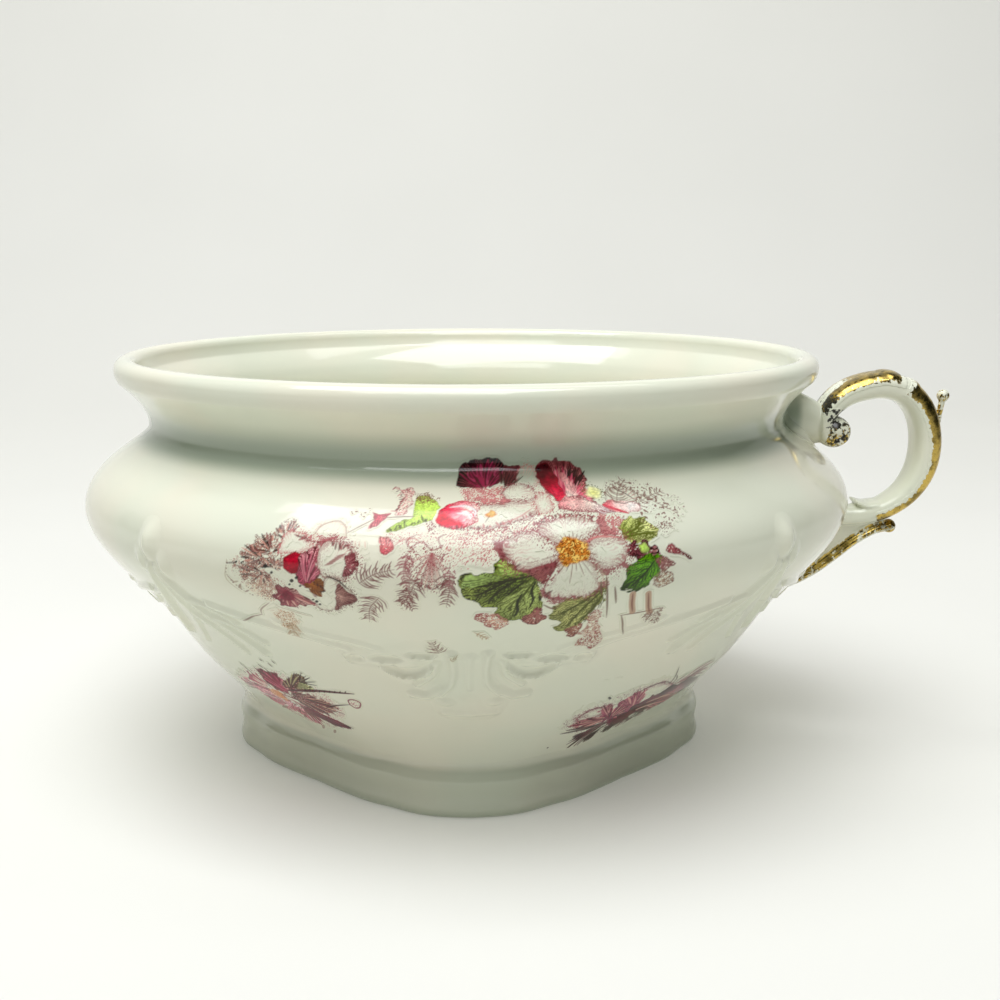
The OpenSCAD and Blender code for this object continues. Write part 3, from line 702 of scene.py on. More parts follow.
class Transfer:
    """A sheet of printed colour, drawn in degrees round the bowl and millimetres up its side."""

    def __init__(self, turns, ups, cell, lift, painted_shade_power):
        self.lift, self.painted_shade_power = lift, np.array(painted_shade_power)
        self.turn = np.arange(turns[0], turns[1], cell / DEGREE_MM)
        self.up = np.arange(ups[0], ups[1], cell)
        self.x, self.y = np.meshgrid(self.turn * DEGREE_MM, self.up)
        self.raised = raised(self.x / DEGREE_MM, self.y)
        self.colour = np.zeros((*self.x.shape, 3))
        self.cover = np.zeros(self.x.shape)
        chance = np.random.default_rng(GRAIN_SEED)
        self.grain = chance.random(self.x.shape)
        self.dots = evened(blur(chance.random(self.x.shape), 1))
        self.chances = chance.random(CHANCES)
        self.wander = evened(blur(chance.random(self.x.shape), 14)) * 2 - 1

    def window(self, points, margin):
        """The part of the sheet round some points given in mm."""
        (x0, y0), (x1, y1) = points.min(0) - margin, points.max(0) + margin
        cols = np.searchsorted(self.x[0], (x0, x1))
        rows = np.searchsorted(self.y[:, 0], (y0, y1))
        return slice(*rows), slice(*cols)

    def lay(self, at, amount, colour):
        """Lays a colour over what is there, or with no colour wipes back to the bare glaze."""
        rest = 1 - amount
        self.cover[at] = self.cover[at] * rest + (0 if colour is None else amount)
        self.colour[at] = self.colour[at] * rest[..., None]
        if colour is not None:
            # Raising the colour to the sheet's power darkens the sprigs as painted shade.
            self.colour[at] += amount[..., None] * colour**self.painted_shade_power

    def within(self, at, loop):
        x, y = self.x[at], self.y[at]
        inside = np.zeros(x.shape, bool)
        for a, b in zip(loop[:-1], loop[1:]):
            if a[1] != b[1]:
                crossing = (b[0] - a[0]) * (y - a[1]) / (b[1] - a[1]) + a[0]
                inside ^= ((a[1] > y) != (b[1] > y)) & (x < crossing)
        return inside

    def depth_in(self, outline, per_span, margin):
        """The part of the sheet round an outline, what lies inside it, and how deep in mm."""
        loop = smooth_path([*outline, *outline[:2]], per_span)[:-per_span] * (DEGREE_MM, 1)
        loop = np.vstack([loop, loop[:1]])
        at = self.window(loop, margin)
        gap = to_line(self.x[at], self.y[at], loop)[0]
        inside = self.within(at, loop)
        return at, inside, np.where(inside, gap, -gap)

    def draw_lots(self, first):
        return self.chances[[(first + j) % CHANCES for j in range(3)]]

    def petal(self, outline, root, inks, edge=None, hatch=None, ragged=0.35, jag=0.9, soft=0.15,
              cover=1.0):
        """A petal or leaf, tinted from its root outwards and engraved with lines that spread from there.
        Edge is (colour, length of the lines at the rim, strength), and hatch is (colour, strength)."""
        at, inside, deep = self.depth_in(outline, 5, 3.5)
        dx, dy = self.x[at] - root[0] * DEGREE_MM, self.y[at] - root[1]
        away = np.hypot(dx, dy)
        reach = max(away[inside].max(initial=1.0), 1.0)
        place = (np.arctan2(dy, dx) / (2 * math.pi) + 0.012 * self.wander[at]) % 1 * math.ceil(6 * reach)
        line, tooth = (np.interp(place * pitch, np.arange(CHANCES), self.chances) for pitch in (1.0, 0.4))
        stripes = ramp(np.cos(2 * math.pi * place), -0.2, 0.7)
        deep = deep + ragged * self.wander[at] + jag * (0.4 * line + 0.6 * tooth - 0.5)
        mask = ramp(deep, -soft, soft)
        if cover < 1:
            mask = mask * ramp(cover - 0.65 * self.grain[at] - 0.35 * self.dots[at], -0.08, 0.08)
        share = np.clip(away / reach + 0.1 * self.wander[at] + 0.12 * (line - 0.5), 0, 1)
        if inks is WHITE:
            if edge:
                shade = edge[2] * np.exp(np.minimum(deep, 0) / (2.2 * edge[1]))
                self.lay(at, ramp(shade - self.grain[at], 0, 0.15) * (deep < 0.2) * 0.9, edge[0])
            self.lay(at, mask, None)
        else:
            stops = np.linspace(0, 1, len(inks))
            shade = np.stack([np.interp(share, stops, [c[i] for c in inks]) for i in range(3)], -1)
            self.lay(at, mask, shade * (0.72 + 0.4 * self.dots[at] + 0.16 * self.grain[at])[..., None])
        if hatch:
            outwards = ramp(share, 0.45, 1.0) if inks is WHITE else 0.45 + 0.55 * share
            drawn = stripes * ramp(line, 0.1, 0.6) * outwards
            self.lay(at, np.clip(mask * drawn * hatch[1] * 2.5, 0, 0.95), hatch[0])
        if edge:
            rim = np.exp(-np.maximum(deep, 0) / (2 * edge[1] * (0.4 + 1.4 * tooth)))
            dotted = ramp(1.3 * rim - self.grain[at], 0, 0.3)
            lined = stripes * ramp(edge[1] * (0.4 + 3.5 * line) - deep, 0, 0.6)
            amount = np.clip((0.7 * dotted + 0.6 * lined) * edge[2], 0, 1) * ramp(deep, -0.3, 0.05)
            self.lay(at, amount * (0.6 if inks is WHITE else 1), edge[0])

    def stroke(self, points, width, colour, strength=0.9, taper=True):
        line = smooth_path(points, 4) * (DEGREE_MM, 1)
        at = self.window(line, 1.5)
        gap, along = to_line(self.x[at], self.y[at], line)
        half = width / 2 * (np.sin(np.pi * np.clip(along * 0.9 + 0.08, 0, 1))**0.5 if taper else 1)
        self.lay(at, ramp(half - gap, -0.14, 0.14) * strength, colour)

    def dusting(self, outline, colour, share, fade=1.5, coarse=False):
        """Engraved dots, thinning towards the edge of an outline."""
        at, _, deep = self.depth_in(outline, 4, fade)
        part = np.minimum(share * (1 + 0.5 * self.wander[at]), 0.8)
        part = part * ramp(deep + 0.6 * self.wander[at], -0.4 * fade, fade)
        grain = (self.dots if coarse else self.grain)[at]
        self.lay(at, ramp(grain, 1 - part - 0.06, 1 - part + 0.06) * (part > 0.01) * 0.9, colour)

    def feather(self, spine, count, length, colour, lean=68, width=0.36):
        """A fern-like spray: a stem with short curved barbs, a little uneven, on both sides."""
        line = smooth_path(spine, 8)
        self.stroke(spine, 0.3, colour, 0.7)
        for k in range(count):
            i = int((k + 0.5) / count * (len(line) - 2))
            d = (line[i + 1] - line[i]) * (DEGREE_MM, 1)
            heading = math.atan2(d[1], d[0])
            for side in (-1, 1):
                chance = self.chances[(7 * k + 3 * side + int(spine[0][1] * 10)) % CHANCES]
                reach = length * (1.35 - 0.7 * k / count) * (0.7 + 0.6 * chance)
                a = heading + side * math.radians(lean + 30 * (chance - 0.5))
                b = a - side * math.radians(30)
                mid = line[i] + ray(a) * reach * 0.5
                tip = mid + ray(b) * reach * 0.5
                self.stroke([line[i], mid, tip], width, colour, 0.85)

    def fringe(self, line, count, length, colours, lean=90):
        """Short uneven strokes along a line, leaning away from its heading."""
        path = smooth_path(line, 12)
        for k in range(count):
            a, b, c = self.draw_lots(int(line[0][1] * 7) + 5 * k)
            i = int((k + a) / (count + 1) * (len(path) - 2))
            d = (path[i + 1] - path[i]) * (DEGREE_MM, 1)
            heading = math.atan2(d[1], d[0]) + math.radians(lean + 80 * (b - 0.5))
            tip = path[i] + ray(heading) * length * (0.15 + 1.2 * c * c)
            self.stroke([path[i], tip], 0.3 + 0.4 * b, colours[k % len(colours)], 0.75)

    def spikes(self, root, angles, reach, count, colours):
        """Strokes that spread from a root like the dark folds of a rose."""
        for k in range(count):
            a, b, c = self.draw_lots(int(root[1] * 7) + 5 * k)
            heading = math.radians(angles[0] + (angles[1] - angles[0]) * (k + a) / count)
            near, far = reach[0] * (0.7 + 0.8 * b), reach[1] * (0.65 + 0.35 * c)
            ends = [root + ray(heading) * near, root + ray(heading) * far]
            self.stroke(ends, 0.35 + 0.45 * a, colours[k % len(colours)], 0.85)

    def streaks(self, outline, root, count, colours, width=0.7):
        """Uneven brush strokes from near a root out to an outline."""
        edge, root = smooth_path(outline, 10), np.array(root)
        for k in range(count):
            a, b, c = self.draw_lots(int(outline[0][1] * 7) + 7 * k)
            way = edge[int((k + a) / (count + 1) * (len(edge) - 1))] - root
            ends = [root + way * (0.1 + 0.6 * b), root + way * (0.8 + 0.28 * c)]
            self.stroke(ends, width * (0.5 + a), colours[k % len(colours)], 0.8)

    def leaf(self, outline, root, inks, veins, line, edge):
        """A leaf with dark engraved lines from its root and along its veins."""
        self.petal(outline, root, inks, (line, 0.5, 0.7 * edge), (line, 0.5), ragged=0.6, jag=1.2)
        for vein in veins:
            self.feather(vein, 11, 2.6, line, 42, 0.3)
            self.stroke(vein, 0.65, line, 0.95)

    def stamens(self, centre, radius, below):
        """A tuft of stamens: a speckled amber disc with fine threads round it."""
        x, y = centre[0] * DEGREE_MM, centre[1]
        at = self.window(np.array([(x, y)]), radius + 2)
        away = np.hypot(self.x[at] - x, (self.y[at] - y) * 1.05) + 0.7 * self.wander[at]
        disc = ramp(radius - away, -0.3, 0.5)
        self.lay(at, disc, STAMEN)
        self.lay(at, disc * ramp(self.dots[at], 0.62, 0.8), AMBER)
        self.lay(at, disc * ramp(self.grain[at], 0.66, 0.8), UMBER)
        threads = 26
        for k in range(threads):
            a = math.radians(360 / threads * k)
            reach = radius + (below if math.sin(a) < -0.2 else 1.2) * (0.6 + 0.4 * math.sin(k * 2.4))
            near, far = ((centre[0] + r * math.cos(a) / DEGREE_MM, centre[1] + r * math.sin(a))
                         for r in (radius * 0.8, reach))
            self.stroke([near, far], 0.28, UMBER if k % 2 else TWIG, 0.7)


def draw_right_spray(sheet):
    petal, leaf, stroke, dusting = sheet.petal, sheet.leaf, sheet.stroke, sheet.dusting
    feather, fringe, spikes, streaks = sheet.feather, sheet.fringe, sheet.spikes, sheet.streaks
    # Dotted ground behind the flowers
    dusting([(-3, 99), (4, 99), (9, 101), (9, 94), (4, 90), (-2, 88), (-3, 94)], PUCE, 0.26)
    dusting([(16.3, 101.8), (19.7, 101.2), (19.7, 96), (18, 93.5), (16.2, 95)], PUCE, 0.66)
    dusting([(2.6, 94.6), (3.4, 90.4), (5.4, 86.4), (8.6, 86), (11, 88.2), (11, 91), (6, 92), (4.4, 95)],
            MAUVE, 0.72, 0.7)
    dusting([(8, 82), (8.4, 78.2), (12, 76.6), (15.6, 77.6), (16.6, 81.4), (15.8, 83.6), (12, 82)], MAUVE,
            0.66, 0.7)
    dusting([(19, 112), (22.5, 113), (27, 109), (29, 103), (27, 97), (22, 99), (21, 105)], TWIG, 0.16,
            coarse=True)
    dusting([(-1, 112.6), (4.8, 112.8), (6.8, 107.5), (4.4, 105), (0.5, 106.4)], ink("a85c68"), 0.62)
    # Dark rose at the top left
    petal([(-1.6, 113), (-1.2, 118.2), (0.3, 121), (3.0, 121.4), (4.7, 120), (5.1, 117), (4.2, 114.2),
           (2.2, 112.6)], (2.4, 112.2), tones("b05070 80183a 340814 0c0203"), (SOOT, 0.7, 0.5),
          (ink("8a4654"), 0.22))
    streaks([(-1.2, 117), (0.4, 120), (3.0, 120.4), (4.8, 118.6), (4.8, 115)], (2.2, 111), 26,
            tones("841a44 2c0814 982c58 3c0a1c"), 1.0)
    petal([(4.8, 113.2), (4.7, 117.2), (6.2, 119.8), (7.4, 119), (7.0, 116), (5.9, 113.4)], (5, 112.5),
          tones("b07c84 7c3c48 401820"), (PLUM, 0.5, 0.6), (PLUM, 0.4), ragged=0.8)
    petal([(6.3, 113), (7.6, 118.5), (9.4, 118), (9.6, 114), (8.2, 110.8), (6.6, 110.6)], (6.5, 110),
          WHITE, (PUCE, 0.35, 0.6), (ink("b09494"), 0.3))
    spikes((4.6, 110.4), (96, 38), (3.0, 9.0), 18, [PLUM, PLUM, SOOT])
    petal([(4.6, 110.5), (6.6, 113.2), (8.8, 111), (8.9, 108), (7.2, 106.6), (5.4, 107.6)], (4.2, 107.5),
          WHITE, (MAUVE, 0.4, 0.75), (PUCE, 0.22))
    # Cup flower in front of it
    petal([(0.2, 106.8), (3.2, 105.8), (6.4, 106.4), (8.8, 106.8), (8.9, 103.4), (6.6, 100.6),
           (3.6, 98.8), (0.4, 98.2), (-0.6, 101)], (1.4, 104.5), WHITE, (MAUVE, 0.5, 0.85), (PUCE, 0.16),
          jag=1.3)
    petal([(-4.1, 100.8), (-3.4, 104.8), (-1.8, 107), (0.4, 107), (1.5, 105.4), (0.9, 103), (1.0, 100.4),
           (-0.9, 98.5), (-2.8, 98.6)], (1.6, 103.4), tones("fdf4f2 f6ccd2 e88ca0 cc3458 b01030"),
          (ink("98082a"), 0.5, 0.75), (ink("c44c68"), 0.22), ragged=0.2, jag=0.5)
    petal([(-4.0, 101.2), (-3.2, 103.2), (-1.8, 101.6), (-0.8, 99.2), (-2.2, 98.6), (-3.4, 99.2)],
          (-1, 99), tones("c82c44 b00820"), soft=0.7)
    for line in ([(-2.4, 105.2), (-0.4, 105.6), (0.8, 104), (0.7, 102)],
                 [(-1.4, 103.2), (-0.2, 103), (0.2, 101.2)]):
        stroke(line, 0.7, ink("fbeaec"), 0.7)
    stroke([(-2, 104.2), (-0.4, 104.4), (0.5, 102.8), (0.4, 100.8)], 0.4, ink("cc506c"), 0.7)
    fringe([(-3.6, 98.8), (-1, 98), (2.4, 98.6), (5.4, 100), (9, 102.6)], 40, 1.3, [MAUVE, PUCE, PLUM])
    stroke([(3.8, 99.4), (6.2, 101.6), (8.2, 104.6)], 0.5, PUCE, 0.6)
    petal([(2.2, 102.6), (2.8, 104.4), (3.5, 103.4), (3.0, 101.8)], (2.8, 103), [AMBER, STAMEN], soft=0.3,
          jag=0.3)
    stroke([(2.0, 100.2), (2.7, 102.6)], 0.3, UMBER, 0.6)
    petal([(8.6, 107.2), (9.6, 110.2), (10.8, 107.6), (10.4, 103.6), (9.0, 102.6)], (9, 102), WHITE,
          (PUCE, 0.4, 0.75), (PUCE, 0.25))
    # Pink rose at the top right
    petal([(9.7, 119.6), (9.7, 115), (11, 109), (12.4, 106), (14.5, 104.4), (16.6, 105.4), (16.4, 110),
           (16.6, 116), (15.2, 119.8), (12.2, 120.4)], (12.8, 106), tones("eebcc0 d48c96 b06470 5c242c"),
          (PLUM, 0.5, 0.6), (PLUM, 0.5), ragged=0.6)
    spikes((13.0, 107.4), (88, 46), (4.5, 12.6), 44, [SOOT, SOOT, PLUM])
    streaks([(12.4, 117.6), (14.2, 117), (15.6, 113), (16.4, 108.6), (16, 106)], (12.6, 104.6), 34,
            tones("c0486c dc8ca0 a42c50 cc6c84"), 0.7)
    petal([(9.7, 119.4), (11.4, 119), (12.6, 115), (12.8, 110), (13.0, 107), (12.1, 106), (11.1, 109),
           (10.0, 114)], (12.6, 106.4), tones("d0405c bc1840 98102c 540818 100204"), (MAROON, 0.35, 0.5))
    petal([(12.9, 116), (13.3, 111), (13.0, 107.6), (14.2, 107.4), (14.6, 111.5), (13.9, 116.5)],
          (13.4, 107), tones("f2ccd0 dc98a4 a8606c"), None, (MAUVE, 0.4))
    petal([(11.4, 105.6), (13.4, 108.2), (15.6, 107), (17.4, 104.2), (18.8, 101.6), (15.2, 102.4),
           (12.4, 103.6)], (12, 106.4), tones("d88090 f0c4c8 f8eae8"), (MAUVE, 0.45, 0.75), (PUCE, 0.35))
    dusting([(15.4, 113), (18.2, 112), (18.4, 107.5), (16.2, 106.8)], OLIVE, 0.4)
    petal([(15.9, 108.4), (16.8, 111), (18, 109.6), (17.4, 107.2)], (17, 109), tones("c8cc84 dcdcac"),
          soft=0.7)
    # Bud and dotted petals on the right
    petal([(18.2, 105.6), (18.8, 109), (20.6, 110.2), (22.4, 108.4), (22.4, 105)], (19, 104.5), WHITE,
          (TWIG, 0.35, 0.7), (PUCE, 0.2))
    petal([(17.6, 104.4), (18.6, 105.6), (20.6, 105.2), (22.6, 103.6), (22.2, 101.8), (20.4, 100.9),
           (18.8, 101.8)], (21.6, 103.8), tones("f4e0de e8b4bc cc6478"), (MAUVE, 0.3, 0.5), (PUCE, 0.2),
          jag=0.4)
    stroke([(17.6, 104.5), (18.8, 103), (20.6, 101)], 0.9, ink("b02440"), 0.85)
    stroke([(20.2, 110), (21.4, 108), (22.4, 105.2)], 0.4, SOOT, 0.8)
    for k in range(48):
        turn, up = 19.4 + 8.0 * ((k * 0.618) % 1), 98 + 15 * ((k * 0.382 + 0.1) % 1)
        stroke([(turn, up), (turn + 0.5, up + 0.9 - 0.04 * k)], 0.32, TWIG, 0.7)
    feather([(19.6, 105), (20.6, 109), (22.6, 113.4)], 10, 2.6, TWIG)
    feather([(22.4, 104), (25, 106.4), (27.4, 107.6)], 10, 2.4, TWIG)
    # Leaves under and beside the large flower
    leaf([(18.7, 97.2), (20.4, 99.3), (22.4, 98.6), (24.2, 95.4), (22.6, 93), (20.6, 91.8), (19, 93.4)],
         (18.9, 96), tones("7c8c40 b0bc78 c4cc94 a4ac70"), [[(18.9, 95), (21, 96.4), (22, 99.4)],
         [(19, 94), (21, 94.6), (23.4, 94.6)]], ink("4c5420"), 0.6)
    dusting([(21.5, 99), (25.5, 97.5), (26.5, 94.5), (23.5, 93.5)], TWIG, 0.3)
    petal([(18.9, 92), (20.4, 92.6), (22.2, 91.8), (23.4, 90), (22.6, 88.2), (20, 88.2), (18.8, 89.6)],
          (19.4, 88.8), [PLUM, ink("6c3444"), ink("94646c")], (SOOT, 0.5, 0.7), (SOOT, 0.5), ragged=0.9,
          cover=0.85)
    petal([(20.6, 92), (21.6, 91.8), (22, 90.4), (21, 90)], (21, 91), [LIME, LEAF], soft=0.4, jag=0.4)
    leaf([(18.5, 82.4), (19.1, 86.4), (21.4, 88.5), (23.3, 88), (23.5, 85), (22.4, 81.4), (20.5, 79.4),
          (18.9, 80)], (22.6, 87.6), tones("467c08 5c9c18 4c8010 283c06"),
         [[(22.4, 87), (21, 83.4), (19.8, 80.6)]], ink("1c2c04"), 0.9)
    petal([(22.7, 87.6), (24.4, 87.8), (25.4, 86), (24.2, 84.6), (23.2, 85.2)], (23, 86.4),
          [MAUVE, ink("a08080")], (PLUM, 0.4, 0.5), (PLUM, 0.4), cover=0.8, jag=0.5)
    petal([(22.4, 82.6), (23.6, 84.2), (25.3, 83.2), (25.4, 80.6), (23.6, 79.2)], (22.6, 82),
          tones("8c7468 a08c80"), (TWIG, 0.45, 0.7), (TWIG, 0.4), cover=0.6)
    petal([(24.3, 90.2), (25.2, 91.2), (26.2, 89.4), (27.8, 86.8), (26, 88), (24.7, 88.8)], (24.6, 90),
          [PUCE, MAUVE, PLUM], (PLUM, 0.4, 0.5), (PLUM, 0.4), ragged=0.2, jag=0.4, cover=0.8)
    leaf([(-1.0, 84.8), (-0.4, 80), (1.5, 76.8), (3.6, 76), (5.2, 79.5), (8, 84.6), (8.4, 86.4),
          (6.4, 86.8), (5, 89.4), (3.5, 89.8), (2.4, 86.6), (0.6, 86.4)], (8.2, 86),
         tones("748c34 6c8434 64782c 809048"), [[(8.2, 86), (4.6, 84.6), (0.4, 82.6)],
         [(5.4, 84.8), (3.2, 81), (2.2, 77.6)], [(6.6, 84.4), (5, 81.6), (3.8, 78)],
         [(4.4, 84.4), (2, 81.6), (0.6, 80)]], ink("24240a"), 0.85)
    petal([(3.4, 86.4), (3.4, 89.4), (4.8, 89.2), (6.2, 86.9), (5, 85.8)], (6, 86),
          tones("7c9448 98b464"), (MOSS, 0.3, 0.4), (OLIVE, 0.3), jag=0.5)
    petal([(-0.8, 82.8), (-0.6, 85.4), (1.6, 86.2), (3.6, 85.6), (1.8, 83.6)], (3.4, 85),
          tones("6c8040 90ac68"), None, (MOSS, 0.5), jag=0.5)
    leaf([(7.7, 85), (6.2, 83), (4.6, 80), (3.3, 76), (3.5, 72.4), (5.1, 70.1), (7, 70.8), (8.4, 73.4),
          (8.7, 77), (8.4, 81.4)], (7.8, 84.6), tones("8c9c58 98ac68 8c9c5c 64743c"),
         [[(7.8, 85), (6, 78.4), (5.1, 70.8)]], ink("3c4418"), 0.75)
    for line in ([(7.7, 84), (7.3, 81), (7.6, 78.6), (7.2, 75)],
                 [(6.2, 80.6), (5.7, 77.6), (5.9, 74.6), (5.5, 72)], [(8.3, 80), (8.5, 78)]):
        stroke(line, 0.75, ink("181c06"), 0.95)
    petal([(0.9, 73.4), (1.2, 70.6), (2.7, 67.4), (3.8, 66.5), (4.9, 68.4), (4.8, 70.8), (3.2, 73.6)],
          (4.6, 72), tones("a87870 b48c84 98645c"), (MAUVE, 0.4, 0.7), (MAUVE, 0.55), ragged=0.6,
          cover=0.62)
    petal([(6.7, 71.4), (8.3, 75), (9.4, 72.2), (9.3, 69.6), (8.4, 67.7), (7.2, 69.4)], (8.2, 74),
          tones("844c50 986c68"), (PLUM, 0.4, 0.6), (PLUM, 0.45), ragged=0.6, cover=0.85)
    leaf([(10.4, 75.4), (12, 77.6), (14, 79.6), (16.1, 80.8), (16.6, 78), (15.9, 74.4), (15.1, 69.4),
          (14.3, 66), (12.4, 64), (11, 66), (11.5, 69), (10.2, 71)], (16.2, 80.6),
         tones("7c8448 98a064 a0a46c 747c48"), [[(16, 80), (14, 73.6), (12.6, 65)],
         [(15.4, 79.6), (12.6, 74.4), (11, 71.4)], [(16.2, 78.4), (15.2, 72.6), (14, 67)]], ink("3c4014"),
         0.7)
    petal([(13, 66), (15, 67.4), (14.9, 62.6), (13.9, 60), (13.2, 62.6)], (14.6, 66.6),
          tones("946c60 805048"), (PLUM, 0.4, 0.5), (PLUM, 0.45), ragged=0.6, cover=0.8)
    petal([(15, 72), (16.6, 72.6), (17.3, 66), (18.6, 61), (18.5, 57.4), (17, 55.4), (15.1, 57),
           (15.8, 60.4), (14.6, 62), (15.3, 66)], (15.8, 72.4), tones("987468 a4857a 946c64"),
          (MAUVE, 0.3, 0.5), (MAUVE, 0.55), ragged=0.8, cover=0.55)
    # Large white flower
    petal([(8, 88.8), (10.6, 89.4), (9.9, 86), (9, 83.2), (7.2, 86), (4.8, 88.4)], (10.4, 89),
          tones("6c343c 84484c 946464"), (PLUM, 0.4, 0.5), (PLUM, 0.4), ragged=0.6, cover=0.85)
    petal([(10.7, 92.4), (9.2, 96.2), (6.2, 96.4), (4.1, 93.6), (4.2, 90.4), (5.8, 87.9), (8.6, 87.9),
           (10.5, 89.8)], (11.6, 91.6), WHITE, (MAUVE, 0.75, 0.8), (PUCE, 0.25), ragged=0.5, jag=1.7)
    petal([(10.6, 93.4), (8.7, 97), (9.2, 99.6), (12, 101.2), (14.6, 100.4), (16, 98.2), (15.3, 95.4),
           (13.8, 93.6)], (12.3, 92), WHITE, (MAUVE, 0.8, 0.9), (PUCE, 0.2), ragged=0.4, jag=1.3)
    fringe([(8.4, 99.4), (9.6, 101.4), (12, 102.2), (15, 101.4), (17.6, 100)], 40, 1.3,
           [MAUVE, PLUM, PUCE], -90)
    petal([(14.1, 92.6), (15.5, 94.4), (18.3, 93.8), (19.3, 91), (18.2, 87.5), (16.2, 86.3),
           (14.5, 88.8)], (13, 91.6), WHITE, (MAUVE, 0.75, 0.85), (PUCE, 0.2), ragged=0.4, jag=1.3)
    stroke([(14, 93.6), (15.6, 94.8), (18.4, 94.2)], 0.6, ink("b06c74"), 0.8)
    dusting([(14.2, 89), (16, 86.6), (18.6, 87.8), (18.8, 86.2), (16.2, 85), (14.2, 87.4)], MAUVE, 0.6, 0.5)
    petal([(10.7, 89.4), (9.7, 85), (8.7, 81.6), (9.4, 79.8), (12, 78.9), (15, 79.8), (15.5, 82.8),
           (14.7, 87), (13.6, 89.2)], (12.3, 91), WHITE, (MAUVE, 0.5, 0.65), (TWIG, 0.08), ragged=0.4,
          jag=2.0)
    fringe([(8.8, 80.6), (9.4, 78.6), (12, 77.6), (15, 78.6), (15.8, 81.4)], 30, 2.2, [MAUVE, PLUM, TWIG])
    fringe([(3.6, 93.8), (3.8, 90), (5.6, 87), (8.4, 86.8), (10.6, 88.6)], 34, 1.9, [MAUVE, PLUM], 60)
    petal([(14.4, 88.2), (15.9, 86), (16.4, 82.6), (15.4, 82), (15.2, 84.4)], (14.2, 88.6),
          tones("94807c b4a49c"), None, (TWIG, 0.5), soft=0.5, cover=0.5)
    sheet.stamens((12.3, 91.6), 4.1, 4.6)
    # Twigs
    for line in ([(16.3, 84), (17, 77), (17.9, 69)], [(15.7, 83), (16.1, 78.4)], [(17.6, 81), (18.4, 75)],
                 [(19.8, 69.4), (22.6, 69.8), (25.9, 70.7)], [(24, 69), (23.4, 66.6)],
                 [(25.4, 69), (26.3, 66.4)], [(20, 69.2), (20.9, 65), (21.7, 60.4)],
                 [(24.6, 70), (24.4, 64.6)], [(9, 76.4), (10.2, 74.8), (11.2, 76.2)]):
        stroke(line, 0.6, ink("5c443c"), 0.85)
    for line in ([(20.3, 78), (20.7, 74.2), (21.4, 70.4)], [(22.5, 77.6), (23.4, 72.2), (24.2, 69)]):
        stroke(line, 1.8, ink("947464"), 0.8, taper=False)
        stroke(line, 0.5, ink("5c2c24"), 0.8)
    dusting([(23.4, 71.6), (26, 70), (26.2, 65), (23.8, 66.4)], TWIG, 0.4, 0.8)
    stroke([(0.6, 65.2), (1.6, 63.4), (2.6, 61.6)], 0.5, ink("94806c"), 0.7)
    feather([(0.9, 64.4), (1.8, 63), (2.5, 62)], 4, 1.3, ink("94806c"))


